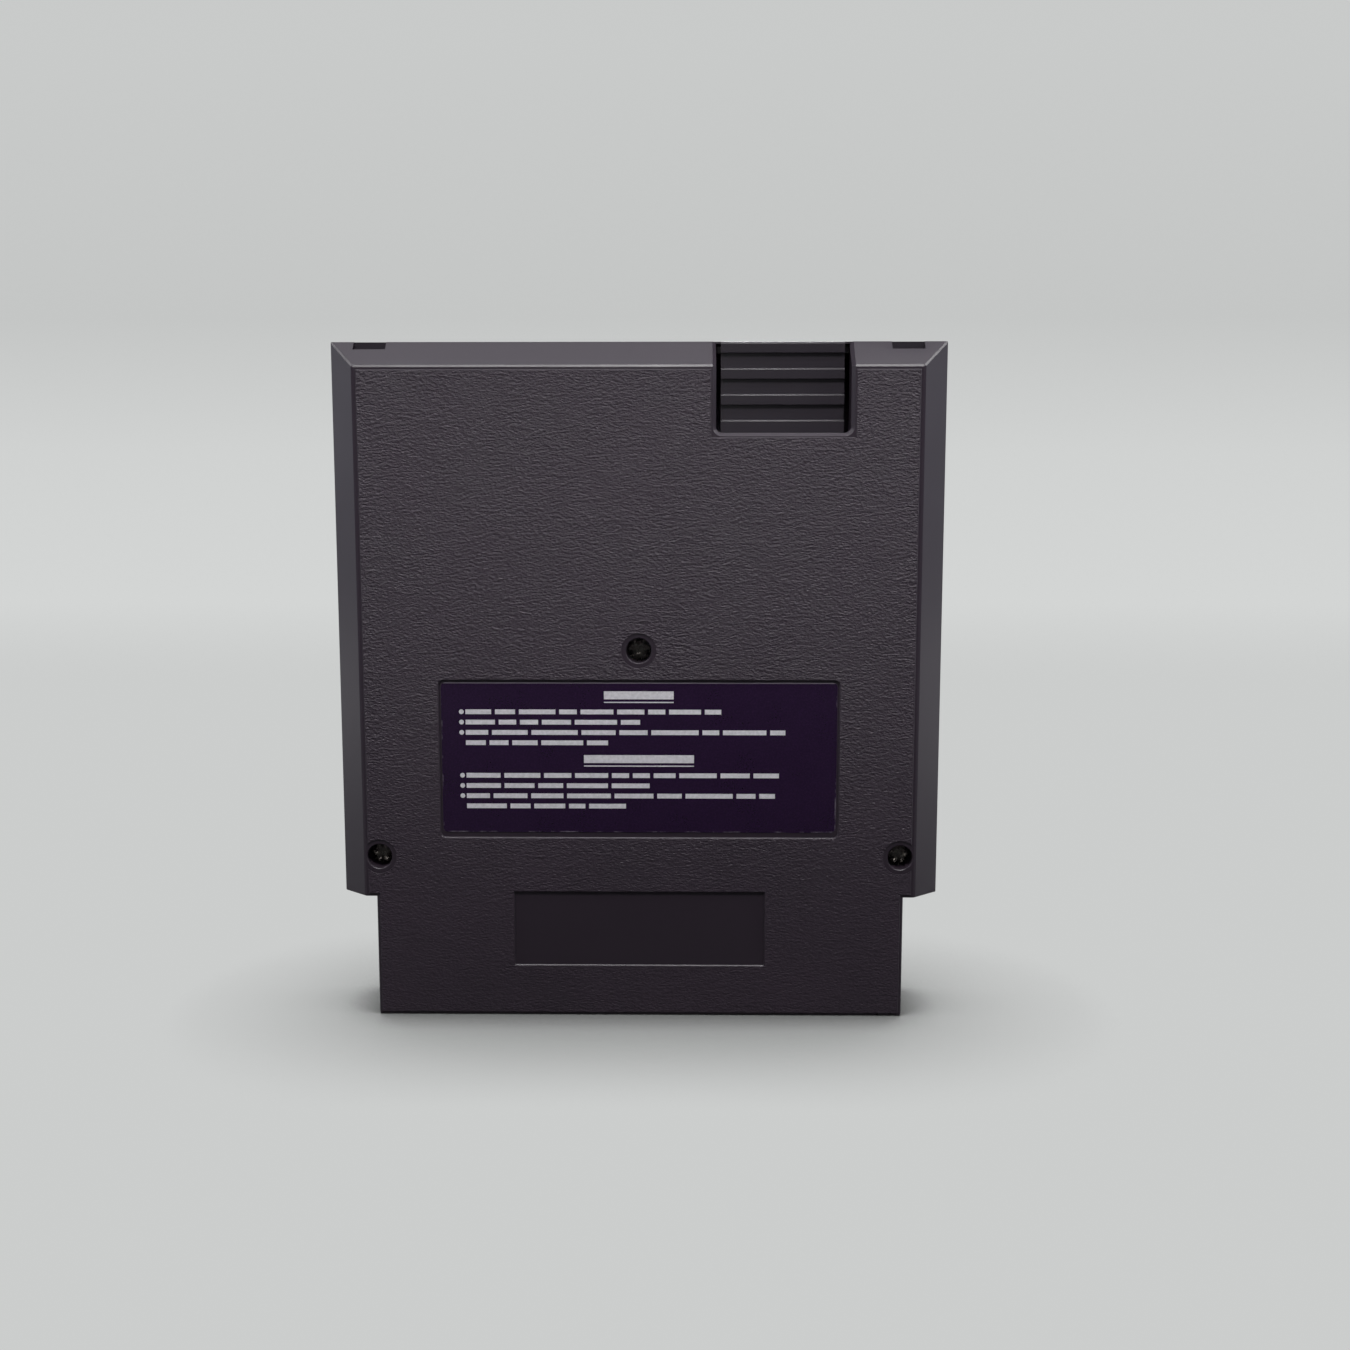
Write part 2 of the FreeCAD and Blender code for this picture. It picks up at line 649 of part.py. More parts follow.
def front_shell():
    body = new_body("front_shell")
    drawn = back_sketch(body, "front_outline", PARTING)
    shell_outline(drawn, SIDE, "height", "neck_height", NECK, "0")
    pad(body, "front_block", drawn, f"{PARTING} - {FRONT}", backward=True)
    chamfer_edges(body, "front_edges", "edge_chamfer", is_front_edge)
    drawn = back_sketch(body, "front_cavity_outline", PARTING)
    shell_outline(drawn, f"({SIDE} - wall)", "height - wall", SHOULDER_INSIDE, NECK_INSIDE, "-overcut")
    pocket(body, "front_cavity", drawn, f"{PARTING} - {FRONT_INSIDE}")
    front_supports(body)
    thumb_grip(body)
    clip_tabs(body)
    side_serrations(body)
    front_face(body)
    return body


def is_front_edge(edge):
    return touches(edge, FRONT) and not is_neck_corner(edge)


def front_supports(body):
    """Screw posts with their pilot holes, board posts with pegs, and the rib across the mouth."""
    root = f"({FRONT_INSIDE} - bite)"
    drawn = back_sketch(body, "front_boss_outline", root)
    circles(drawn, WELLS, "boss_across")
    pad(body, "front_bosses", drawn, f"{BOSS_END} - {root}")
    drawn = back_sketch(body, "pilot_outline", BOSS_END)
    circles(drawn, WELLS, "shank_across")
    pocket(body, "pilot_holes", drawn, "shank_length - seat_wall + pilot_room")
    drawn = back_sketch(body, "front_post_outline", root)
    squares(drawn, PEGS, "post_across")
    pad(body, "front_posts", drawn, f"{BOARD_FRONT} - {root}")
    drawn = back_sketch(body, "peg_outline", BOARD_FRONT)
    circles(drawn, PEGS, "peg_across")
    pad(body, "pegs", drawn, "board_thick + peg_rise")
    drawn = back_sketch(body, "front_rib_outline", root)
    rectangle(drawn, f"-{NECK_INSIDE} - bite", f"{NECK_INSIDE} + bite", "rib_level", RIB_TOP)
    pad(body, "front_rib", drawn, f"{BOARD_FRONT} - {root}")


def thumb_grip(body):
    """Ribbed block behind the thumb window, hung from the top wall on two webs."""
    steps = math.floor(value("(grip_drop - foot_gap - rib_height) / rib_pitch"))
    profile = [(rearward(GRIP_BACK), "height"), (rearward(CREST), "height")]
    for step in range(steps):
        base = f"height - {step} * rib_pitch - rib_height"
        crest = f"height - {step + 1} * rib_pitch"
        profile += [(rearward(CREST), base), (rearward(VALLEY), base)]
        profile += [(rearward(VALLEY), crest), (rearward(CREST), crest)]
    profile += [(rearward(CREST), GRIP_FOOT), (rearward(GRIP_BACK), GRIP_FOOT)]
    left = f"({GRIP_LEFT} + grip_gap)"
    right = f"({GRIP_RIGHT} - grip_gap)"
    drawn = side_sketch(body, "rib_outline", left)
    polygon(drawn, profile)
    pad(body, "grip_ribs", drawn, f"{right} - {left}")
    round_edges(body, "rib_crests", "rib_round", is_rib_crest)
    drawn = back_sketch(body, "web_outline", f"{FRONT_INSIDE} - bite")
    rectangle(drawn, left, f"{left} + web_wall", GRIP_FOOT, "height - wall / 2")
    rectangle(drawn, f"{right} - web_wall", right, GRIP_FOOT, "height - wall / 2")
    pad(body, "grip_webs", drawn, f"{GRIP_BACK} - {FRONT_INSIDE} + 2 * bite")
    drawn = back_sketch(body, "notch_outline", PARTING)
    rectangle(drawn, GRIP_LEFT, left, "height - wall - overcut", "height - notch_roof")
    rectangle(drawn, right, GRIP_RIGHT, "height - wall - overcut", "height - notch_roof")
    pocket(body, "grip_notches", drawn, "notch_depth")


def is_rib_crest(edge):
    """The upper edge of a rib."""
    points = ends(edge)
    across = abs(points[-1].x - points[0].x)
    step = round((value("height") - points[0].z) / value("rib_pitch"))
    is_upper = is_near(points[0].z, f"height - {step} * rib_pitch")
    return lies_at(edge, CREST) and across > value("grip_width / 2") and is_upper


def clip_tabs(body):
    """Two tabs under the top wall that reach into the rear half's slots."""
    tip = f"({PARTING} + clip_depth - clip_gap)"
    low = "height - wall - clip_thick"
    for side, middle in (("left", f"-{CLIP}"), ("right", CLIP)):
        drawn = side_sketch(body, f"{side}_clip_outline", f"{middle} - {CLIP_TAB} / 2")
        polygon(drawn, [
            (rearward(f"({PARTING} - clip_root)"), low),
            (rearward(tip), low),
            (rearward(tip), "height - wall + clip_nub"),
            (rearward(f"({tip} - clip_nub)"), "height - wall + clip_nub"),
            (rearward(f"({tip} - 2 * clip_nub)"), "height - wall"),
            (rearward(f"({PARTING} - clip_root)"), "height - wall"),
        ])
        pad(body, f"{side}_clip", drawn, CLIP_TAB)


def side_serrations(body):
    drawn = back_sketch(body, "serration_outline", PARTING)
    level = "(height - serration_top)"
    polygon(drawn, [
        (f"{SIDE} - serration_depth", level),
        (SIDE, f"{level} - serration_pitch / 2"),
        (f"{SIDE} + serration_depth", level),
        (SIDE, f"{level} + serration_pitch / 2"),
    ])
    cut = pocket(body, "serration", drawn, "serration_reach")
    row_of(body, "serrations", cut, "Z_Axis", "serration_pitch", "serration_count", backward=True)


def front_face(body):
    """Upright grip grooves, a shallow recess that runs over the top edge, and the insertion arrow."""
    drawn = back_sketch(body, "groove_outline", FRONT)
    middle = f"({SIDE} - groove_inset)"
    rectangle(drawn, f"{middle} - groove_width / 2", f"{middle} + groove_width / 2", "face_base",
              "height + overcut")
    cut = pocket(body, "groove", drawn, "groove_depth", backward=True)
    row_of(body, "grooves", cut, "X_Axis", "groove_pitch", "groove_count", backward=True)
    left = f"face_inset - {SIDE}"
    drawn = back_sketch(body, "face_outline", FRONT)
    rectangle(drawn, left, f"{left} + face_width", "face_base", "height + overcut")
    pocket(body, "face_recess", drawn, "face_depth", backward=True)
    drawn = level_sketch(body, "top_face_outline", "height")
    rectangle(drawn, left, f"{left} + face_width", f"-({FRONT} + face_reach)", f"-({FRONT} - overcut)")
    pocket(body, "top_face_recess", drawn, "face_depth")
    drawn = back_sketch(body, "arrow_outline", FRONT)
    high = "arrow_base + arrow_height"
    polygon(drawn, [("-arrow_width / 2", high), ("0", "arrow_base"), ("arrow_width / 2", high)])
    pocket(body, "arrow", drawn, "arrow_depth", backward=True)


# Sticker and screws.


def rear_label():
    body = new_body("rear_label")
    drawn = back_sketch(body, "sticker_outline", LABEL_FLOOR)
    half = "(label_width / 2 - label_gap)"
    rectangle(drawn, f"-{half}", half, f"{LABEL_LOW} + label_foot", f"{LABEL_TOP} - label_gap")
    pad(body, "sticker", drawn, "label_thick")
    round_edges(body, "sticker_corners", "label_corner", runs_through)
    return body


def shell_screws():
    """Three screws with lobed security heads, seated on the floors of their wells."""
    body = new_body("shell_screws")
    drawn = back_sketch(body, "head_outline", WELL_FLOOR)
    for across, up in WELLS:
        polygon(drawn, lobed_outline(across, up))
    pad(body, "heads", drawn, "head_height")
    drawn = back_sketch(body, "shank_outline", WELL_FLOOR)
    circles(drawn, WELLS, "shank_across")
    pad(body, "shanks", drawn, "shank_length", backward=True)
    return body


def lobed_outline(across, up):
    """Corners of a screw head, in turn on a lobe and between two lobes."""
    lobe = "(well_bore / 2 - head_gap)"
    flute = f"({lobe} - lobe_depth)"
    corners = []
    for n in range(int(value("lobe_count"))):
        for radius, half_turns in ((lobe, 2 * n), (flute, 2 * n + 1)):
            turn = f"({half_turns} * 180 deg / lobe_count)"
            corners.append((f"{across} + {radius} * cos({turn})", f"{up} + {radius} * sin({turn})"))
    return corners


# Circuit board and its contacts.


def circuit_board():
    body = new_body("circuit_board")
    drawn = back_sketch(body, "board_outline", BOARD_FRONT)
    shell_outline(drawn, BOARD, BOARD_TOP, "tongue_top", TONGUE, "board_recess")
    pad(body, "board", drawn, "board_thick")
    chamfer_edges(body, "connector_edge", "tongue_chamfer", is_connector_edge)
    drawn = back_sketch(body, "peg_hole_outline", BOARD_REAR)
    circles(drawn, PEGS, "(peg_across + 2 * peg_gap)")
    pocket(body, "peg_holes", drawn, EVERYWHERE)
    memory_low = f"{CHIP_LOW} + chip_end"
    pin_holes(body, "program", PROGRAM, "memory_row", memory_low, "memory_pin_count")
    pin_holes(body, "picture", PICTURE, "memory_row", memory_low, "memory_pin_count")
    pin_holes(body, "key", KEY, "key_row", f"{KEY_LOW} + chip_end", "key_pin_count")
    drawn = back_sketch(body, "wire_hole_outline", BOARD_REAR)
    for middle in (PROGRAM_BLOCK, PICTURE_BLOCK):
        for sign in ("-", "+"):
            square(drawn, middle, f"{BLOCK_LEVEL} {sign} block_wires / 2", "pin_hole")
    for sign in ("-", "+"):
        square(drawn, f"{SUPPLY} {sign} can_wires / 2", CAN_WIRE_LEVEL, "pin_hole")
    pocket(body, "wire_holes", drawn, EVERYWHERE)
    return body


def is_connector_edge(edge):
    points = ends(edge)
    along = abs(points[-1].x - points[0].x) > NEAR
    return along and all(is_near(point.z, "board_recess") for point in points)


def pin_holes(body, name, middle, row, low, count):
    drawn = back_sketch(body, f"{name}_hole_outline", BOARD_REAR)
    for sign in ("-", "+"):
        square(drawn, f"{middle} {sign} {row} / 2", low, "pin_hole")
    cut = pocket(body, f"{name}_hole", drawn, EVERYWHERE)
    row_of(body, f"{name}_holes", cut, "Z_Axis", "pin_pitch", count)


def contacts(name, place, backward):
    """A row of plated fingers along the connector edge, as many as fit on it."""
    body = new_body(name)
    count = math.floor(value(f"2 * ({TONGUE} - contact_edge) / contact_pitch")) + 1
    first = f"(-contact_pitch * {count - 1} / 2)"
    low = "board_recess + tongue_chamfer"
    drawn = back_sketch(body, f"{name}_outline", place)
    rectangle(drawn, f"{first} - contact_width / 2", f"{first} + contact_width / 2", low,
              f"{low} + contact_length")
    finger = pad(body, f"{name}_finger", drawn, "contact_thick", backward=backward)
    row_of(body, f"{name}_row", finger, "X_Axis", "contact_pitch", str(count))
    return body


# Chips: each is built about its own middle and then placed on the board.


def put(body, across, place, up):
    body.setExpression("Placement.Base.x", bound(across))
    body.setExpression("Placement.Base.y", bound(rearward(place)))
    body.setExpression("Placement.Base.z", bound(up))
    return body


def chip(name, width, length, across, low):
    """Moulded chip body with chamfered edges and a notch at its upper end."""
    body = new_body(name)
    top = "(chip_lift + chip_height)"
    drawn = back_sketch(body, f"{name}_outline", "chip_lift")
    rectangle(drawn, f"-{width} / 2", f"{width} / 2", "0", length)
    pad(body, f"{name}_block", drawn, "chip_height")
    chamfer_edges(body, f"{name}_edges", "chip_edge", lambda edge: touches(edge, top))
    drawn = back_sketch(body, f"{name}_notch_outline", top)
    square(drawn, "0", length, "chip_mark")
    pocket(body, f"{name}_notch", drawn, "chip_mark_depth")
    return put(body, across, BOARD_REAR, low)


def chip_leads(name, width, row, count, across, low):
    """Two rows of bent pins, out of the body's sides and down through the board."""
    body = new_body(name)
    middle = "(chip_lift + chip_height / 2)"
    tail = "board_thick + pin_tail"
    drawn = level_sketch(body, f"{name}_outline", "0")
    for sign in ("-", ""):
        inner = f"{sign}({width} / 2)"
        leg_in = f"{sign}({row} / 2 - pin_thick / 2)"
        leg_out = f"{sign}({row} / 2 + pin_thick / 2)"
        polygon(drawn, [
            (inner, f"-{middle} - pin_thick / 2"), (leg_out, f"-{middle} - pin_thick / 2"),
            (leg_out, tail), (leg_in, tail),
            (leg_in, f"-{middle} + pin_thick / 2"), (inner, f"-{middle} + pin_thick / 2"),
        ])
    pins = pad(body, f"{name}_pair", drawn, "pin_width", symmetric=True)
    row_of(body, f"{name}_rows", pins, "Z_Axis", "pin_pitch", count)
    return put(body, across, BOARD_REAR, f"{low} + chip_end")


# Capacitors.


def block_capacitor(name, across):
    """Dipped ceramic block that stands over the board on its wires."""
    body = new_body(name)
    drawn = back_sketch(body, f"{name}_outline", "block_lift")
    rectangle(drawn, "-block_thick / 2", "block_thick / 2", "-block_width / 2", "block_width / 2")
    pad(body, f"{name}_block", drawn, "block_height")
    chamfer_edges(body, f"{name}_edges", "block_edge", lambda edge: not lies_at(edge, "block_lift"))
    return put(body, across, BOARD_REAR, BLOCK_LEVEL)


def block_wires(name, across):
    body = new_body(name)
    drawn = back_sketch(body, f"{name}_outline", "block_lift")
    for sign in ("-", ""):
        square(drawn, "0", f"{sign}(block_wires / 2)", "wire_across")
    pad(body, f"{name}_pair", drawn, "block_lift + board_thick + pin_tail", backward=True)
    return put(body, across, BOARD_REAR, BLOCK_LEVEL)


def supply_capacitor():
    """Sleeved can lying on the board, crimped near the end that holds its seal."""
    body = new_body("supply_capacitor")
    drawn = side_sketch(body, "can_outline", "0")
    outer = "(can_across / 2)"
    bore = f"({outer} - can_lip)"
    crimp = f"({outer} - can_crimp)"
    polygon(drawn, [
        ("0", "0"), (outer, "0"),
        (outer, "can_length - seal_depth - 2 * can_crimp"), (crimp, "can_length - seal_depth - can_crimp"),
        (outer, "can_length - seal_depth"), (outer, "can_length"), (bore, "can_length"),
        (bore, "can_length - seal_depth"), ("0", "can_length - seal_depth"),
    ])
    turned = body.newObject("PartDesign::Revolution", "can")
    turned.Profile = drawn
    turned.ReferenceAxis = (drawn, ["V_Axis"])
    return put(body, SUPPLY, CAN_PLACE, CHIP_LOW)


def supply_seal():
    seal = doc.addObject("Part::Cylinder", "supply_capacitor_seal")
    seal.setExpression("Radius", bound("can_across / 2 - can_lip"))
    seal.setExpression("Height", bound("seal_depth"))
    return put(seal, SUPPLY, CAN_PLACE, f"{CAN_TOP} - seal_depth")


def supply_wires():
    """Two wires out of the seal, bent down through the board."""
    body = new_body("supply_capacitor_leads")
    inside, outside = "wire_across / 2", "-wire_across / 2"
    tail = f"{CAN_PLACE} - {TAIL_END}"
    for side, sign in (("left", "-"), ("right", "")):
        drawn = side_sketch(body, f"{side}_wire_outline", f"{sign}(can_wires / 2)")
        polygon(drawn, [
            (outside, "0"), (inside, "0"), (inside, "wire_run"), (tail, "wire_run"),
            (tail, "wire_run + wire_across"), (outside, "wire_run + wire_across"),
        ])
        pad(body, f"{side}_wire", drawn, "wire_across", symmetric=True)
    return put(body, SUPPLY, CAN_PLACE, CAN_TOP)


nodes = [
    rear_shell(),
    front_shell(),
    rear_label(),
    shell_screws(),
    circuit_board(),
    contacts("rear_contacts", BOARD_REAR, False),
    contacts("front_contacts", BOARD_FRONT, True),
    chip("program_chip", "memory_body", MEMORY_LENGTH, PROGRAM, CHIP_LOW),
    chip_leads("program_chip_leads", "memory_body", "memory_row", "memory_pin_count", PROGRAM, CHIP_LOW),
    chip("picture_chip", "memory_body", MEMORY_LENGTH, PICTURE, CHIP_LOW),
    chip_leads("picture_chip_leads", "memory_body", "memory_row", "memory_pin_count", PICTURE, CHIP_LOW),
    chip("key_chip", "key_body", KEY_LENGTH, KEY, KEY_LOW),
    chip_leads("key_chip_leads", "key_body", "key_row", "key_pin_count", KEY, KEY_LOW),
    block_capacitor("program_capacitor", PROGRAM_BLOCK),
    block_wires("program_capacitor_leads", PROGRAM_BLOCK),
    block_capacitor("picture_capacitor", PICTURE_BLOCK),
    block_wires("picture_capacitor_leads", PICTURE_BLOCK),
    supply_capacitor(),
    supply_seal(),
    supply_wires(),
]
doc.recompute()

for item in doc.Objects:
    if {"Invalid", "Error"} & set(item.State):
        raise RuntimeError(f"{item.Name} failed: {item.State}")
for node in nodes:
    if node.Shape.isNull() or not node.Shape.isValid():
        raise RuntimeError(f"{node.Label} has no valid shape")

os.makedirs("parts", exist_ok=True)
for node in nodes:
    node.Shape.exportStep(f"parts/{node.Label}.step")
    print(node.Label, len(node.Shape.Solids), round(node.Shape.Volume, 2), node.Shape.BoundBox)
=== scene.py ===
import math
import random
from typing import NamedTuple

import bmesh
import bpy
from bpy.props import FloatProperty, FloatVectorProperty, IntProperty, PointerProperty
from mathutils import Matrix, Vector


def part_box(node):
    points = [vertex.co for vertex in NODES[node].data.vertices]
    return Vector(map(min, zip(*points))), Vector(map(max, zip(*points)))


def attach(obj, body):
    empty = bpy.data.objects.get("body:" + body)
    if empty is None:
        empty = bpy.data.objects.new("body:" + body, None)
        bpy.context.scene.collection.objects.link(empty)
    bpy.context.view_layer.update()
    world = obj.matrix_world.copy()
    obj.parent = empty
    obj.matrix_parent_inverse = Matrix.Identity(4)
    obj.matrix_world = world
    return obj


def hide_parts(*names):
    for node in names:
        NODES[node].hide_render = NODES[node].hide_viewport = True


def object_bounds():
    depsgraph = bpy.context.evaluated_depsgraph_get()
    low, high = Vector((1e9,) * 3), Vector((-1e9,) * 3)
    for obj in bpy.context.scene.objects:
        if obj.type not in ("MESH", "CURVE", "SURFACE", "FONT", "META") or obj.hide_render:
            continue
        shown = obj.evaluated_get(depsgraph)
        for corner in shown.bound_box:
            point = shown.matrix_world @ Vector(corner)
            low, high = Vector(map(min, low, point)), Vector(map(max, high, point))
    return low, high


bl_info = {
    "name": "Game cartridge looks",
    "version": (1, 0, 0),
    "blender": (4, 5, 0),
    "location": "View3D > Sidebar > Cartridge",
    "description": "Finishes, print, screws and stage for the packed game cartridge",
    "category": "Object",
}

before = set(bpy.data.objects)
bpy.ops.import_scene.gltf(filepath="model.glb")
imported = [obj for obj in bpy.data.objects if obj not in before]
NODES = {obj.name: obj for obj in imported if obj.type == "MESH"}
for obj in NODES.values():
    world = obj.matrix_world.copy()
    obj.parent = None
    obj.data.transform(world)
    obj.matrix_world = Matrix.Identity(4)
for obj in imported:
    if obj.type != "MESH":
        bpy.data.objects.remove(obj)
CAD_BOX = [list(corner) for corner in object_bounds()]
LABEL_LOW, LABEL_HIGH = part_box("rear_label")
LABEL_MIDDLE = (LABEL_LOW + LABEL_HIGH) / 2
LABEL_HALF = (LABEL_HIGH - LABEL_LOW) / 2
SCREW_LOW, SCREW_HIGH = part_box("shell_screws")
MM = 0.001
TOUCH = 0.001 * MM  # distance under which two points are one

# Shells.
FLAT_ANGLE = math.radians(0.3)  # faces that meet flatter than this are one face
EDGE_ANGLE = math.radians(18)  # edges sharper than this are rounded
EDGE_SEGMENTS = 3
REAR_EDGE_ROUGHNESS, FRONT_EDGE_ROUGHNESS = 0.42, 0.25
WINDOW_HIGHLIGHT_REACH = 2.0 * MM  # reach of the painted highlight round the sticker's window, past the sticker
WARM_TINT = (1.10, 1.02, 1.08)  # colour change of handled plastic

# Sticker: width of each heading bar, then the ends of its lines, as shares of the sticker's width.
HEADED_LINES = (
    (0.176, (0.71, 0.53, 0.87, 0.45)),
    (0.279, (0.86, 0.53, 0.845, 0.48)),
)
DOTTED_LINES = 3  # lines of a block that start with a dot
DOT_SIDES = 20
SHORTEST_BAR, LONGEST_BAR = 3.0 * MM, 9.5 * MM
PRINT_SEED = 7

# Screws.
HEAD_HEIGHT = 2.1 * MM
HEAD_SIDES = 72
HEAD_REACH = 3 * MM  # a head's edges lie within this distance of its axis
RIM_ROUND = 0.22 * MM  # rounding of a head's rim
RIM_SEGMENTS = 3
SHANK_RADIUS = 1.7 * MM
DISH_RINGS = 5  # rings of the dish in a screw head
DISH_RUN = 1.5 * MM  # reach of those rings from the rim

# Board.
TRACK_PITCH = 2.5 * MM
TRACK_STEP = 9 * MM  # height of a row of tracks
TRACK_SHIFT = 310  # sideways shift of a row, in pitches per metre of height
CAN_STRIPE = 1.6 * MM  # stripe of the supply capacitor from its middle
CAN_STRIPE_HALF = 0.7 * MM
CAN_STRIPE_TONE = (0.55, 0.58, 0.62, 1.0)

# Floor and backdrop, in metres.
SWEEP_HALF = 3.0  # half of the width
SWEEP_FRONT = -2.5
SWEEP_BACK = 0.55  # where the floor starts to bend up
SWEEP_BEND = 0.5  # radius of the bend
SWEEP_STEPS = 24
SWEEP_RISE = 2.5  # wall above the bend
PAPER_RISE = 0.6  # height over which the paper's tones change
# painted light and shade: these tones make the backdrop lighter and darker by height
PAPER_TONES = ((0.0, 0.40), (0.06, 0.84), (0.26, 0.66), (0.47, 0.03), (0.9, 0.25))
PAPER_DARK, PAPER_PALE = 0.9, 1.1
FLOOR_ASIDE = ((0.10, 0.0), (0.22, 1.0))  # distance to the side at which the floor gives all its light back
CLOSE_SHADE = 0.2  # reach of the dark line at the contact, as a share of the soft shade's
SHADE_POWER, CLOSE_POWER = 1.6, 2.0
SHADE_SAMPLES = 2
MOUTH_REACH = (0.7, 0.8)  # shares of the part's half width and half thickness that the mouth's light covers
MOUTH_GLOW = 6.0
MOUTH_TONE = (0.8, 0.8, 0.8, 1.0)
BLACK = (0.0, 0.0, 0.0, 1.0)
WHITE = (1.0, 1.0, 1.0, 1.0)

# Surroundings: from 0 at the camera's side to 1 at the far side, and from 0 level to 1 straight up.
FRONT_END, SIDE_START = 0.28, 0.46
HIGH_TONES = ((0.3, 1.0), (0.9, 0.6))


class Lamp(NamedTuple):
    """An area lamp of the stage, in metres and degrees."""

    name: str
    place: tuple
    aim: tuple
    size: tuple
    spread: float
    power: str  # setting that holds its watts
    share: float = 1.0  # share of those watts


LAMPS = (
    Lamp("key", (0.03, -0.15, 0.30), (0.03, -0.008, 0.083), (0.34, 0.06), 40, "key_power"),
    Lamp("left_light", (-0.3, 0.09, 0.03), (0.0, 0.0, 0.03), (0.18, 0.06), 180, "side_power"),
    Lamp("left_corner", (-0.315, -0.085, 0.355), (-0.0575, -0.006, 0.1315), (0.04, 0.04), 60, "corner_power", 0.5),
    Lamp("right_light", (0.3, 0.09, 0.03), (0.0, 0.0, 0.03), (0.18, 0.06), 180, "side_power", 1.7),
    Lamp("right_corner", (0.315, -0.085, 0.355), (0.0575, -0.006, 0.1315), (0.04, 0.04), 60, "corner_power"),
    Lamp("top", (0.02, -0.035, 0.30), (0.02, -0.02, 0.10), (0.34, 0.10), 180, "top_power"),
    Lamp("back", (-0.03, 0.42, 0.30), (0.0, 0.0085, 0.075), (0.30, 0.08), 40, "back_power"),
    Lamp("glint", (-0.02, -0.26, 0.17), (0.0, -0.005, 0.07), (0.015, 0.015), 60, "glint_power"),
)


def length(name, description, default):
    return FloatProperty(name=name, description=description, default=default, unit="LENGTH", precision=5)


def colour(name, description, default):
    return FloatVectorProperty(name=name, description=description, default=default, size=3,
                               subtype="COLOR_GAMMA", min=0, max=1)


def watts(name, description, default):
    return FloatProperty(name=name, description=description, default=default, unit="POWER", precision=4)


def share(name, description, default):
    return FloatProperty(name=name, description=description, default=default, subtype="FACTOR")


def strength(name, description, default):
    return FloatProperty(name=name, description=description, default=default)


class CartridgeSizes(bpy.types.PropertyGroup):
    """Sizes of the fine shapes and of the surface textures."""

    edge_round: length("Edge rounding", "Rounding of the shells' moulded edges", 0.12 * MM)
    field_level: length("Field level", "Distance from the middle plane past which a face is grained", 8.43 * MM)
    grain: length("Grain", "Height of one ripple of the moulded grain", 0.30 * MM)
    grain_depth: length("Grain depth", "Depth of the moulded grain", 0.30 * MM)
    print_thick: length("Print thickness", "Thickness of the ink on the sticker", 0.012 * MM)
    film_rim: length("Sticker rim", "Width of the pale cut edge of the sticker", 0.22 * MM)
    heading_height: length("Heading bars", "Height of a heading bar on the sticker", 1.6 * MM)
    heading_drop: length("Heading place", "First heading bar below the sticker's top", 2.54 * MM)
    heading_pitch: length("Heading spacing", "Distance between the heading bars", 12.75 * MM)
    underline_drop: length("Underline place", "Underline below the middle of its heading", 1.4 * MM)
    underline_height: length("Underline", "Height of an underline", 0.22 * MM)
    line_drop: length("Line place", "First line of bars below the middle of its heading", 3.32 * MM)
    line_height: length("Line bars", "Height of a line of bars on the sticker", 0.95 * MM)
    line_pitch: length("Line spacing", "Distance between the lines of bars", 2.06 * MM)
    line_inset: length("Line start", "Start of the lines from the sticker's side", 4.8 * MM)
    dot_inset: length("Dot place", "Dots in front of the lines, from the sticker's side", 4.0 * MM)
    dot_across: length("Dots", "Diameter of a dot", 0.95 * MM)
    word_gap: length("Bar gap", "Gap between two bars in a line", 0.75 * MM)
    head_radius: length("Screw head", "Radius over the lobes of a screw head", 2.25 * MM)
    lobe_depth: length("Screw flutes", "Depth of the flutes between the lobes", 0.42 * MM)
    head_dish: length("Screw dish", "Depth of the dish in a screw head", 0.45 * MM)
    lobes: IntProperty(name="Screw lobes", description="Lobes round a screw head", default=6, min=3)


class CartridgeColours(bpy.types.PropertyGroup):
    """Colours of the finishes, as they look on a screen."""

    rear: colour("Rear shell", "Dark grey plastic of the rear shell", (0.207, 0.172, 0.210))
    front: colour("Front shell", "Dark grey plastic of the front shell", (0.186, 0.163, 0.194))
    film: colour("Sticker", "Dark film of the sticker", (0.122, 0.055, 0.160))
    backing: colour("Sticker edge", "Pale backing at the cut edge of the sticker", (0.50, 0.47, 0.51))
    ink: colour("Ink", "Pale ink of the sticker's bars", (0.83, 0.82, 0.84))
    # painted shade: the steel is darker than bare steel, so that the screw heads stay dark in their deep wells
    steel: colour("Screws", "Steel of the screws", (0.45, 0.43, 0.41))
    laminate: colour("Board", "Lacquered board", (0.07, 0.30, 0.13))
    plating: colour("Contacts", "Gold plating of the contacts", (0.86, 0.68, 0.36))
    resin: colour("Chips", "Black moulding resin", (0.10, 0.10, 0.105))
    tin: colour("Pins", "Tinned pins and wires", (0.75, 0.75, 0.74))
    coating: colour("Block capacitors", "Dipped coating", (0.76, 0.48, 0.16))
    sleeve: colour("Supply capacitor", "Printed sleeve", (0.12, 0.17, 0.36))
    rubber: colour("Seal", "Rubber seal", (0.09, 0.09, 0.09))
    floor: colour("Floor", "Floor of the stage", (0.805, 0.812, 0.809))
    wall: colour("Backdrop", "Pale surroundings as the camera sees them", (0.77, 0.778, 0.774))
    tent: colour("Tent", "Pale surroundings as they light the part", (0.755, 0.772, 0.80))


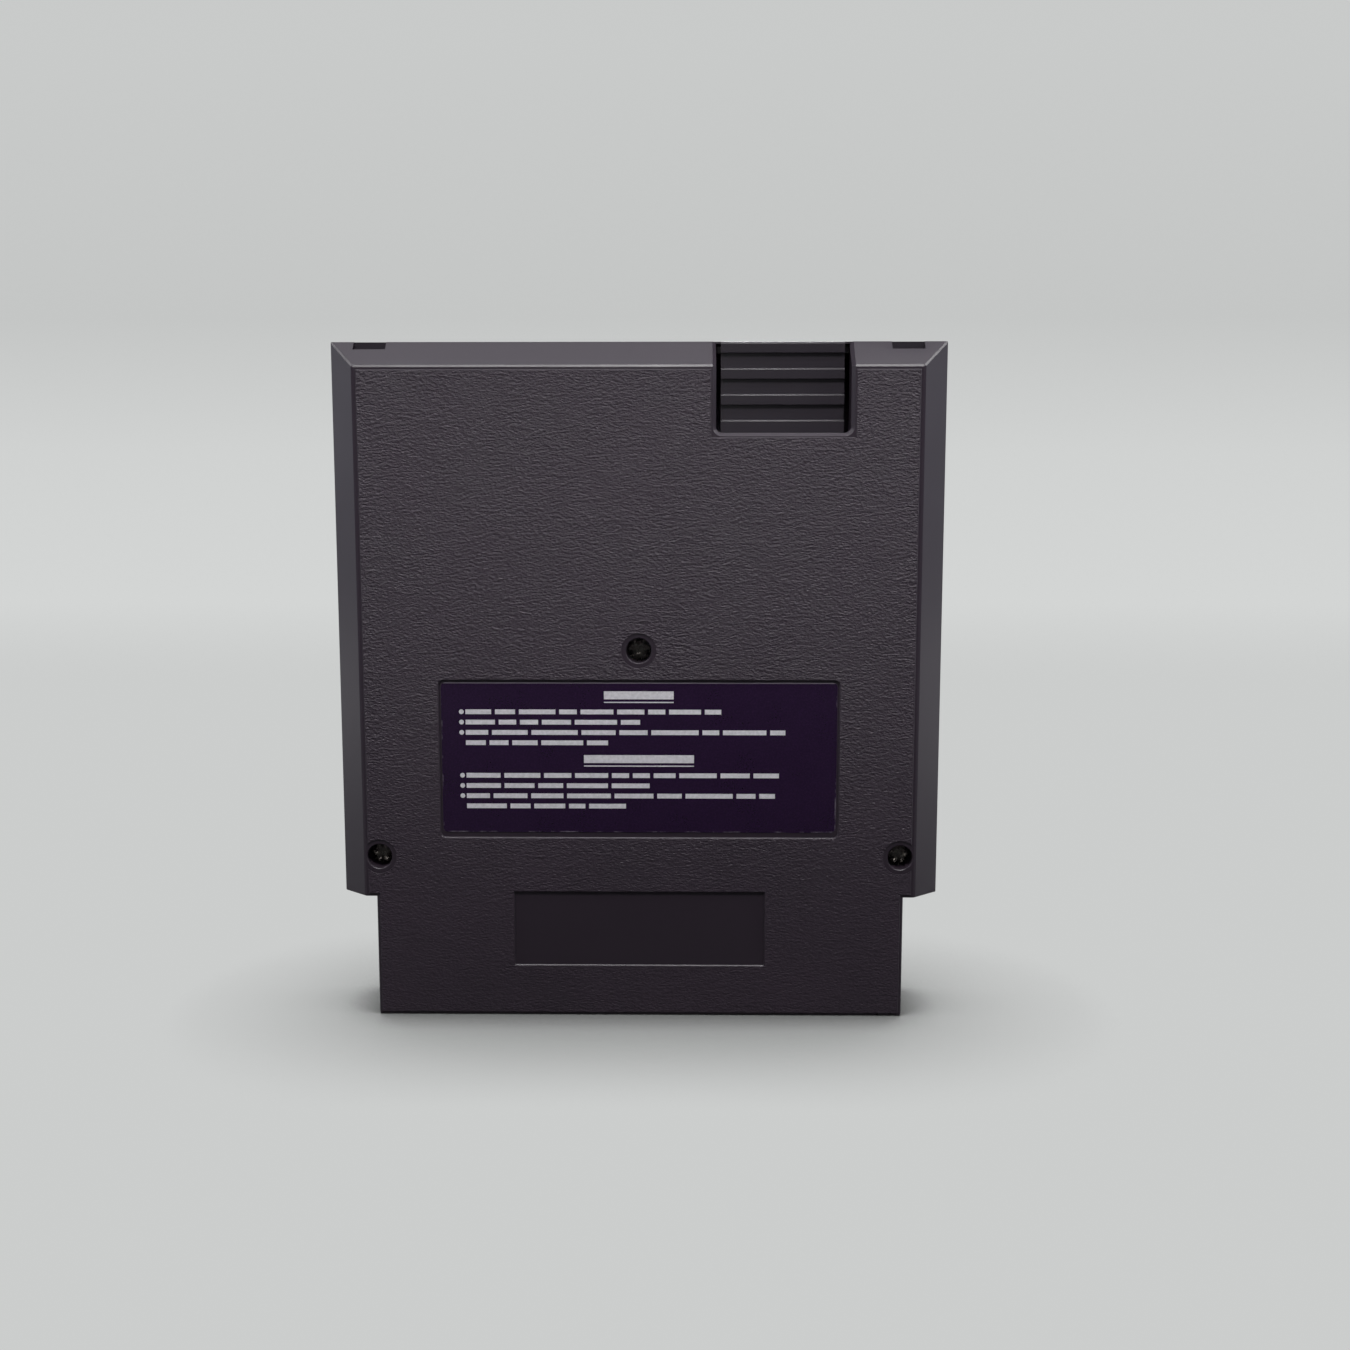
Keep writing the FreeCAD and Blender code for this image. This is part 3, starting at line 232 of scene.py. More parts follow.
class CartridgeStage(bpy.types.PropertyGroup):
    """Camera and light."""

    eye: FloatVectorProperty(name="Camera", description="Place of the camera", subtype="TRANSLATION",
                             unit="LENGTH", default=(10.34 * MM, -271.8 * MM, 100.24 * MM))
    pitch: FloatProperty(name="Pitch", description="Downward tilt of the camera", subtype="ANGLE",
                         default=math.radians(6.69))
    yaw: FloatProperty(name="Yaw", description="Turn of the camera to the left", subtype="ANGLE",
                       default=math.radians(0.695))
    lens: FloatProperty(name="Lens", description="Focal length on a 36 mm sensor", unit="CAMERA", default=36.0)
    key_power: watts("Key light", "Power of the light above the camera", 0.112)
    top_power: watts("Top light", "Power of the light over the part", 0.14)
    back_power: watts("Back light", "Power of the light behind the part", 0.3)
    side_power: watts("Side lights", "Power of the low side lights", 0.032)
    corner_power: watts("Corner lights", "Power of the lights for the corners", 0.03)
    glint_power: watts("Glint light", "Power of the small light near the camera", 0.003)
    sky: strength("Surroundings", "Strength of the light from the sides and above", 2.05)
    front: strength("Front", "Strength of the light from behind the camera", 0.06)
    bounce: share("Bounce", "Share of light that the floor gives back to the part", 0.16)
    glow: share("Paper glow", "Share of the paper's tone that no light changes", 1.0)
    contact: length("Contact shade", "Reach of the soft shade where the part meets the floor", 45 * MM)


class CartridgeSettings(bpy.types.PropertyGroup):
    """Everything that the operators read."""

    sizes: PointerProperty(type=CartridgeSizes)
    colours: PointerProperty(type=CartridgeColours)
    stage: PointerProperty(type=CartridgeStage)


# Shader maths.


class Flow:
    """A socket of a node tree that takes part in Python expressions."""

    def __init__(self, tree, socket=None):
        self.tree = tree
        self.socket = socket

    def node(self, kind, settings, inputs, output=0):
        """Add a node: its settings first, then the values or links of its sockets."""
        made = self.tree.nodes.new(kind)
        for name, value in settings.items():
            if name == "stops":
                self.fill_ramp(made.color_ramp, value)
            else:
                setattr(made, name, value)
        for key, value in inputs.items():
            if isinstance(value, Flow):
                self.tree.links.new(value.socket, made.inputs[key])
            else:
                made.inputs[key].default_value = value
        return Flow(self.tree, made.outputs[output])

    @staticmethod
    def fill_ramp(ramp, stops):
        while len(ramp.elements) < len(stops):
            ramp.elements.new(1.0)
        for element, (position, value) in zip(ramp.elements, stops):
            element.position = position
            element.color = (value, value, value, 1)

    def maths(self, operation, *values):
        return self.node("ShaderNodeMath", {"operation": operation}, dict(enumerate(values)))

    def __add__(self, other):
        return self.maths("ADD", self, other)

    def __radd__(self, other):
        return self.maths("ADD", other, self)

    def __sub__(self, other):
        return self.maths("SUBTRACT", self, other)

    def __rsub__(self, other):
        return self.maths("SUBTRACT", other, self)

    def __mul__(self, other):
        return self.maths("MULTIPLY", self, other)

    def __rmul__(self, other):
        return self.maths("MULTIPLY", other, self)

    def __truediv__(self, other):
        return self.maths("DIVIDE", self, other)

    def __gt__(self, other):
        return self.maths("GREATER_THAN", self, other)

    def __lt__(self, other):
        return self.maths("LESS_THAN", self, other)

    def __abs__(self):
        return self.maths("ABSOLUTE", self)

    def ramp(self, *stops):
        """Grey levels between stops of position and value."""
        return self.node("ShaderNodeValToRGB", {"stops": stops}, {"Fac": self})

    def mix(self, first, second):
        """A colour between two, by this value."""
        return self.node("ShaderNodeMix", {"data_type": "RGBA"}, {0: self, 6: first, 7: second}, 2)

    def noise(self, scale, detail=2.0, roughness=0.5):
        """Noise on this vector."""
        sockets = {"Vector": self, "Scale": scale, "Detail": detail, "Roughness": roughness}
        return self.node("ShaderNodeTexNoise", {}, sockets)

    def cells(self, scale):
        """Distance to the nearest point of a scatter on this vector."""
        return self.node("ShaderNodeTexVoronoi", {"feature": "F1"}, {"Vector": self, "Scale": scale})

    def stretched(self, x, y, z):
        """This vector with its axes scaled."""
        return self.node("ShaderNodeMapping", {}, {"Vector": self, "Scale": (x, y, z)})

    def axis(self, name):
        """One coordinate of this vector."""
        return self.node("ShaderNodeSeparateXYZ", {}, {"Vector": self}, name)

    def bump(self, amount, distance, normal=None):
        """A normal from this height."""
        sockets = {"Height": self, "Strength": amount, "Distance": distance}
        if normal:
            sockets["Normal"] = normal
        return self.node("ShaderNodeBump", {}, sockets)


def linear(value):
    """A screen colour as the light level that it stands for."""
    return tuple((c / 12.92) if c <= 0.04045 else ((c + 0.055) / 1.055) ** 2.4 for c in value) + (1.0,)


def shaded(value, factor):
    """A colour made lighter or darker."""
    return tuple(c * factor for c in value[:3]) + (1.0,)


def tinted(value, factors):
    """A colour with each of its parts scaled."""
    return tuple(c * factor for c, factor in zip(value, factors)) + (1.0,)


def new_material(name, **constants):
    """A material with one surface shader; gives it with its tree's object coordinates."""
    material = bpy.data.materials.new(name)
    material.use_nodes = True
    tree = material.node_tree
    shader = tree.nodes["Principled BSDF"]
    for key, value in constants.items():
        shader.inputs[key.replace("_", " ").title().replace("Ior", "IOR")].default_value = value
    place = Flow(tree).node("ShaderNodeTexCoord", {}, {}, "Object")
    return material, shader, place


def feed(shader, **flows):
    """Link what varies over the surface."""
    for key, flow in flows.items():
        name = key.replace("_", " ").title()
        flow.tree.links.new(flow.socket, shader.inputs[name])


# Finishes.


def worn_edges_with_painted_light(name, tone, roughness):
    """The same plastic where hands have polished its edges, with their tone painted darker as painted shade, and a
    painted highlight on the edges round the sticker.
    """
    base = linear(tone)
    material, shader, place = new_material(name, ior=1.45)
    worn = place.noise(130.0, 4.0, 0.65).ramp((0.3, 0.0), (0.7, 1.0))
    # painted shade: by the noise, the edges take 0.6 to 0.9 of the plastic's tone, which tones down their
    # highlight
    painted_edge_shade = worn.mix(shaded(base, 0.6), shaded(base, 0.9))
    # painted highlight: edges round the sticker's window take 1.7 times the plastic's tone
    across = abs(place.axis("X") - LABEL_MIDDLE.x) < LABEL_HALF.x + WINDOW_HIGHLIGHT_REACH
    along = abs(place.axis("Z") - LABEL_MIDDLE.z) < LABEL_HALF.z + WINDOW_HIGHLIGHT_REACH
    window_highlight = across * along * (place.axis("Y") < 0.0)
    feed(shader, base_color=window_highlight.mix(painted_edge_shade, shaded(base, 1.7)), roughness=roughness + worn * 0.08)
    return material


def shell_plastic(name, tone, sizes):
    """Satin plastic, smooth on bevels, recesses and ribs, and grained on the raised faces, less so low down; the
    smooth faces are painted darker as painted shade.
    """
    base = linear(tone)
    material, shader, place = new_material(name, ior=1.45)
    field = abs(place.axis("Y")) > sizes.field_level
    ripple = place.stretched(0.6, 1.0, 1.2)
    grain = ripple.cells(0.6 / sizes.grain) * 0.6 + ripple.noise(1.0 / sizes.grain, 3.0, 0.6)
    rubbed = place.axis("Z").ramp((0.02, 0.5), (0.07, 1.0))
    fine = place.noise(6.0 / sizes.grain, 2.0)
    worn = place.noise(45.0, 4.0, 0.65).ramp((0.35, 0.0), (0.75, 1.0))
    tint = place.noise(160.0, 3.0, 0.6).ramp((0.3, 0.0), (0.7, 1.0))
    body = tint.mix(shaded(base, 0.94), shaded(base, 1.06))
    warm = worn.mix(body, tinted(base, WARM_TINT))
    hollow = grain.ramp((0.25, 0.0), (0.9, 1.0))
    dusty = (field * hollow * rubbed * 0.35).mix(warm, shaded(base, 0.72))
    # painted shade: the smooth faces (bevels, recesses, ribs) take 0.79 of the plastic's tone
    feed(shader, base_color=field.mix(shaded(base, 0.79), dusty))
    feed(shader, roughness=0.32 + worn * 0.08 + field * 0.14)
    micro = fine.bump(0.10, 0.02 * MM)
    feed(shader, normal=(grain * field * rubbed).bump(0.9, sizes.grain_depth, micro))
    return material


def sticker_film(settings):
    """Dark printed film with a faint speckle and a pale cut edge."""
    base = linear(settings.colours.film)
    material, shader, place = new_material("label_film", ior=1.48)
    speck = place.noise(2600.0, 2.0, 0.7).ramp((0.42, 0.0), (0.72, 1.0))
    cloud = place.noise(120.0, 3.0, 0.6)
    ground = cloud.mix(shaded(base, 0.8), shaded(base, 1.2))
    printed = (speck * 0.5).mix(ground, shaded(base, 2.0))
    rim = settings.sizes.film_rim
    side = abs(place.axis("X") - LABEL_MIDDLE.x) > LABEL_HALF.x - rim
    foot = place.axis("Z") < LABEL_MIDDLE.z - LABEL_HALF.z + rim
    top = place.axis("Z") > LABEL_MIDDLE.z + LABEL_HALF.z - rim
    lifted = place.noise(420.0, 3.0, 0.6).ramp((0.5, 0.0), (0.68, 1.0))
    cut = top.maths("MAXIMUM", top * 0.7, (side + foot) * lifted * 0.5)
    feed(shader, base_color=cut.mix(printed, linear(settings.colours.backing)))
    feed(shader, roughness=0.20 + cloud * 0.10)
    feed(shader, normal=(speck * 0.4 + place.noise(300.0)).bump(0.12, 0.03 * MM))
    return material


def sticker_ink(settings):
    """Pale screen-printed ink, a little thin in places."""
    base = linear(settings.colours.ink)
    material, shader, place = new_material("label_ink")
    thin = place.noise(1500.0, 3.0, 0.7).ramp((0.35, 0.0), (0.65, 1.0))
    feed(shader, base_color=thin.mix(shaded(base, 0.80), base), roughness=0.45 + thin * 0.1)
    return material


def metal(name, tone, roughness, scratches):
    """Metal with fine scratches and a little tarnish."""
    base = linear(tone)
    material, shader, place = new_material(name, metallic=1.0)
    line = place.stretched(1.0, 6.0, 1.0).noise(scratches, 4.0, 0.7)
    tarnish = place.noise(900.0, 4.0, 0.65).ramp((0.4, 0.0), (0.75, 1.0))
    feed(shader, base_color=(tarnish * 0.6).mix(base, shaded(base, 0.45)))
    feed(shader, roughness=roughness + tarnish * 0.25 + line * 0.1, normal=line.bump(0.15, 0.02 * MM))
    return material


def board_laminate(settings):
    """Lacquered board with copper tracks that show through as paler lines."""
    base = linear(settings.colours.laminate)
    material, shader, place = new_material("board_laminate", ior=1.5, coat_weight=0.4)
    up = place.axis("Z")
    row = up.maths("SNAP", up, TRACK_STEP) * TRACK_SHIFT
    lane = place.axis("X") * (1 / TRACK_PITCH)
    track = abs(lane.maths("FRACT", lane + row) - 0.5)
    copper = track.ramp((0.16, 1.0), (0.22, 0.0))
    weave = place.stretched(1.0, 1.0, 1.4).noise(1700.0, 2.0)
    ground = weave.mix(shaded(base, 0.85), shaded(base, 1.1))
    feed(shader, base_color=(copper * 0.6).mix(ground, shaded(base, 1.7)), roughness=0.30 + weave * 0.2)
    feed(shader, normal=(copper + weave * 0.3).bump(0.3, 0.035 * MM))
    return material


def moulded(name, tone, roughness, lump, depth):
    """A cast or dipped body with a faintly uneven skin."""
    base = linear(tone)
    material, shader, place = new_material(name)
    skin = place.noise(1 / lump, 3.0, 0.6)
    cloud = place.noise(250.0, 2.0)
    feed(shader, base_color=cloud.mix(shaded(base, 0.85), shaded(base, 1.15)), roughness=roughness + skin * 0.15)
    feed(shader, normal=skin.bump(0.4, depth))
    return material


def can_sleeve(settings):
    """Shrunk sleeve with a pale stripe along one side."""
    base = linear(settings.colours.sleeve)
    low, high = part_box("supply_capacitor")
    material, shader, place = new_material("can_sleeve", ior=1.5)
    middle = (low.x + high.x) / 2
    stripe = abs(place.axis("X") - (middle + CAN_STRIPE)) < CAN_STRIPE_HALF
    skin = place.noise(700.0, 3.0)
    feed(shader, base_color=stripe.mix(base, CAN_STRIPE_TONE), roughness=0.28 + skin * 0.15)
    feed(shader, normal=skin.bump(0.2, 0.04 * MM))
    return material


def stage_paper(settings):
    """Pale matt paper for the camera, painted lighter and darker by height as painted light and shade, with a soft
    shade round what stands on it.

    It is clear from behind, and gives light to the mouth that stands on it, so that the inside shows from below.
    """
    stage = settings.stage
    base = linear(settings.colours.floor)
    material, shader, place = new_material("stage_paper", roughness=0.9, emission_strength=MOUTH_GLOW)
    material.cycles.emission_sampling = "NONE"
    tree = material.node_tree
    start = Flow(tree)
    camera = start.node("ShaderNodeLightPath", {}, {}, "Is Camera Ray")
    height = place.axis("Z") / PAPER_RISE
    # painted light and shade: the paper's tone changes by height
    paper = height.ramp(*PAPER_TONES).mix(shaded(base, PAPER_DARK), shaded(base, PAPER_PALE))
    across, along = abs(place.axis("X")), abs(place.axis("Y"))
    lit_floor = across.ramp(*FLOOR_ASIDE).mix(shaded(base, stage.bounce), base)
    half_width, half_thickness = CAD_BOX[1][:2]
    mouth = (across < half_width * MOUTH_REACH[0]) * (along < half_thickness * MOUTH_REACH[1])
    feed(shader, base_color=camera.mix(lit_floor, paper), emission_color=mouth.mix(BLACK, MOUTH_TONE))
    samples = {"samples": SHADE_SAMPLES}
    shade = start.node("ShaderNodeAmbientOcclusion", samples, {"Distance": stage.contact}, "AO")
    close = start.node("ShaderNodeAmbientOcclusion", samples, {"Distance": stage.contact * CLOSE_SHADE}, "AO")
    dim = shade.maths("POWER", shade, SHADE_POWER) * close.maths("POWER", close, CLOSE_POWER)
    glow = start.node("ShaderNodeEmission", {}, {"Color": paper, "Strength": dim})
    matt = Flow(tree, shader.outputs["BSDF"])
    lit = start.node("ShaderNodeMixShader", {}, {"Fac": camera * stage.glow, 1: matt, 2: glow})
    behind = start.node("ShaderNodeNewGeometry", {}, {}, "Backfacing")
    clear = start.node("ShaderNodeBsdfTransparent", {}, {})
    seen = start.node("ShaderNodeMixShader", {}, {"Fac": behind * camera, 1: lit, 2: clear})
    tree.links.new(seen.socket, tree.nodes["Material Output"].inputs["Surface"])
    return material


# Meshes.


def of_type(items, kind):
    """The vertices, edges or faces among what a bmesh operator gives back."""
    return [item for item in items if isinstance(item, kind)]


def finish_mesh(shape, name, material):
    """Turn a bmesh into a piece that rides with the cartridge."""
    bmesh.ops.recalc_face_normals(shape, faces=shape.faces)
    mesh = bpy.data.meshes.new(name)
    shape.to_mesh(mesh)
    shape.free()
    mesh.materials.append(material)
    piece = bpy.data.objects.new(name, mesh)
    bpy.context.scene.collection.objects.link(piece)
    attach(piece, "root")
    return piece


def dress_node(name, *materials):
    """Give a node of the frame its finishes."""
    slots = NODES[name].data.materials
    slots.clear()
    for material in materials:
        slots.append(material)


def soften_edges(name, rounding):
    """Weld a node's triangles, join its flat faces and round its edges, which wear its second finish."""
    node = NODES[name]
    weld = node.modifiers.new("weld", "WELD")
    weld.merge_threshold = TOUCH
    flat = node.modifiers.new("flat_faces", "DECIMATE")
    flat.decimate_type = "DISSOLVE"
    flat.angle_limit = FLAT_ANGLE
    bevel = node.modifiers.new("edge_round", "BEVEL")
    bevel.width = rounding
    bevel.segments = EDGE_SEGMENTS
    bevel.limit_method = "ANGLE"
    bevel.angle_limit = EDGE_ANGLE
    bevel.material = 1


def lay_bar(shape, sizes, left, right, level, height):
    """Lay a thin bar of ink on the sticker, its middle at this level."""
    depth = sizes.print_thick
    centre = Vector(((left + right) / 2, LABEL_LOW.y - depth / 2, level))
    size = Matrix.Diagonal((right - left, depth, height, 1.0))
    bmesh.ops.create_cube(shape, size=1.0, matrix=Matrix.Translation(centre) @ size)


def lay_dot(shape, sizes, across, level):
    """Lay a thin round dot of ink on the sticker."""
    depth = sizes.print_thick
    radius = sizes.dot_across / 2
    place = Matrix.Translation((across, LABEL_LOW.y - depth / 2, level))
    turn = Matrix.Rotation(math.radians(90), 4, "X")
    bmesh.ops.create_cone(shape, cap_ends=True, segments=DOT_SIDES, radius1=radius, radius2=radius, depth=depth,
                          matrix=place @ turn)


def line_of_bars(shape, sizes, dice, left, right, level):
    """Fill a line with bars of uneven length."""
    at = left
    while at < right - SHORTEST_BAR / 2:
        end = min(at + dice.uniform(SHORTEST_BAR, LONGEST_BAR), right)
        lay_bar(shape, sizes, at, end, level, sizes.line_height)
        at = end + sizes.word_gap


class CARTRIDGE_OT_shells(bpy.types.Operator):
    """Finish both moulded shells and round their edges"""

    bl_idname = "cartridge.shells"
    bl_label = "Finish the shells"

    def execute(self, context):
        settings = context.scene.cartridge
        colours = settings.colours
        shells = (
            ("rear_shell", colours.rear, REAR_EDGE_ROUGHNESS),
            ("front_shell", colours.front, FRONT_EDGE_ROUGHNESS),
        )
        for name, tone, roughness in shells:
            plastic = shell_plastic(f"{name}_plastic", tone, settings.sizes)
            dress_node(name, plastic, worn_edges_with_painted_light(f"{name}_edges", tone, roughness))
            soften_edges(name, settings.sizes.edge_round)
        return {"FINISHED"}


class CARTRIDGE_OT_sticker(bpy.types.Operator):
    """Finish the sticker and lay its bars of ink on it"""

    bl_idname = "cartridge.sticker"
    bl_label = "Print the sticker"

    def execute(self, context):
        settings = context.scene.cartridge
        sizes = settings.sizes
        dress_node("rear_label", sticker_film(settings))
        dice = random.Random(PRINT_SEED)
        shape = bmesh.new()
        width = LABEL_HIGH.x - LABEL_LOW.x
        left = LABEL_LOW.x + sizes.line_inset
        level = LABEL_HIGH.z - sizes.heading_drop
        for heading, ends in HEADED_LINES:
            start = LABEL_MIDDLE.x - heading * width / 2
            end = LABEL_MIDDLE.x + heading * width / 2
            lay_bar(shape, sizes, start, end, level, sizes.heading_height)
            lay_bar(shape, sizes, start, end, level - sizes.underline_drop, sizes.underline_height)
            for number, line_end in enumerate(ends):
                line = level - sizes.line_drop - number * sizes.line_pitch
                line_of_bars(shape, sizes, dice, left, LABEL_LOW.x + line_end * width, line)
                if number < DOTTED_LINES:
                    lay_dot(shape, sizes, LABEL_LOW.x + sizes.dot_inset, line)
            level -= sizes.heading_pitch
        finish_mesh(shape, "label_print", sticker_ink(settings))
        return {"FINISHED"}


class CARTRIDGE_OT_screws(bpy.types.Operator):
    """Make the three security screws in their wells"""

    bl_idname = "cartridge.screws"
    bl_label = "Make the screws"

    def execute(self, context):
        settings = context.scene.cartridge
        sizes = settings.sizes
        flat = sizes.head_radius * math.cos(math.pi / sizes.lobes)
        side = SCREW_HIGH.x - sizes.head_radius
        shape = bmesh.new()
        for x, z in ((-side, SCREW_LOW.z + flat), (side, SCREW_LOW.z + flat), (0.0, SCREW_HIGH.z - flat)):
            self.add_screw(shape, sizes, x, z)
        steel = metal("screw_steel", settings.colours.steel, 0.16, 2500.0)
        piece = finish_mesh(shape, "shell_screws_fine", steel)
        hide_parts("shell_screws")
        return {"FINISHED"}

    def add_screw(self, shape, sizes, x, z):
        """A lobed head with a rounded rim and a dished top, over a plain shank."""
        radius = sizes.head_radius
        head_top, tip = SCREW_LOW.y, SCREW_HIGH.y
        head_base = head_top + HEAD_HEIGHT
        place = Matrix.Translation((x, head_top, z)) @ Matrix.Rotation(math.radians(90), 4, "X")
        made = bmesh.ops.create_circle(shape, cap_ends=True, segments=HEAD_SIDES, radius=radius, matrix=place)
        for vertex in made["verts"]:
            turn = math.atan2(vertex.co.z - z, vertex.co.x - x)
            dip = 0.5 - 0.5 * math.cos(sizes.lobes * turn)
            shrink = 1 - sizes.lobe_depth / radius * dip ** 2
            vertex.co.x = x + (vertex.co.x - x) * shrink
            vertex.co.z = z + (vertex.co.z - z) * shrink
        cap = made["verts"][0].link_faces[0]
        under = of_type(bmesh.ops.extrude_face_region(shape, geom=[cap])["geom"], bmesh.types.BMFace)
        bmesh.ops.translate(shape, verts=under[0].verts, vec=(0, head_base - head_top, 0))
        bmesh.ops.inset_region(shape, faces=under, thickness=radius - SHANK_RADIUS)
        end = of_type(bmesh.ops.extrude_face_region(shape, geom=under)["geom"], bmesh.types.BMFace)
        bmesh.ops.translate(shape, verts=end[0].verts, vec=(0, tip - head_base, 0))
        bmesh.ops.delete(shape, geom=under, context="FACES_ONLY")
        rim = [edge for edge in shape.edges if self.is_rim(edge, x, z, head_top)]
        bmesh.ops.bevel(shape, geom=rim, offset=RIM_ROUND, segments=RIM_SEGMENTS, profile=0.5, affect="EDGES",
                        material=-1)
        self.sink_lid(shape, sizes, x, z, head_top)

    def sink_lid(self, shape, sizes, x, z, level):
        """Sink the flat top of a head in rings, steepest at its rim."""
        lid = [face for face in shape.faces if all(self.is_rim(edge, x, z, level) for edge in face.edges)]
        sunk = 0.0
        for ring in range(1, DISH_RINGS):
            bmesh.ops.inset_region(shape, faces=lid, thickness=DISH_RUN / DISH_RINGS, use_even_offset=True)
            depth = sizes.head_dish * (1 - (1 - ring / DISH_RINGS) ** 2)
            bmesh.ops.translate(shape, verts=lid[0].verts, vec=(0, depth - sunk, 0))
            sunk = depth

    @staticmethod
    def is_rim(edge, x, z, level):
        """Whether an edge runs round the top of the head at this place."""
        near = all(math.hypot(v.co.x - x, v.co.z - z) < HEAD_REACH for v in edge.verts)
        return near and all(abs(v.co.y - level) < TOUCH for v in edge.verts)


class CARTRIDGE_OT_board(bpy.types.Operator):
    """Finish the board, its contacts and the parts on it"""

    bl_idname = "cartridge.board"
    bl_label = "Finish the board"

    def execute(self, context):
        settings = context.scene.cartridge
        colours = settings.colours
        dress_node("circuit_board", board_laminate(settings))
        plating = metal("contact_plating", colours.plating, 0.22, 1800.0)
        tin = metal("pin_tin", colours.tin, 0.35, 2200.0)
        resin = moulded("chip_resin", colours.resin, 0.5, 0.12 * MM, 0.03 * MM)
        coating = moulded("block_coating", colours.coating, 0.22, 0.6 * MM, 0.06 * MM)
        for name in ("rear_contacts", "front_contacts"):
            dress_node(name, plating)
        for name in ("program_chip", "picture_chip", "key_chip"):
            dress_node(name, resin)
            dress_node(f"{name}_leads", tin)
        for name in ("program_capacitor", "picture_capacitor"):
            dress_node(name, coating)
            dress_node(f"{name}_leads", tin)
        dress_node("supply_capacitor", can_sleeve(settings))
        dress_node("supply_capacitor_seal", moulded("seal_rubber", colours.rubber, 0.7, 0.2 * MM, 0.03 * MM))
        dress_node("supply_capacitor_leads", tin)
        return {"FINISHED"}


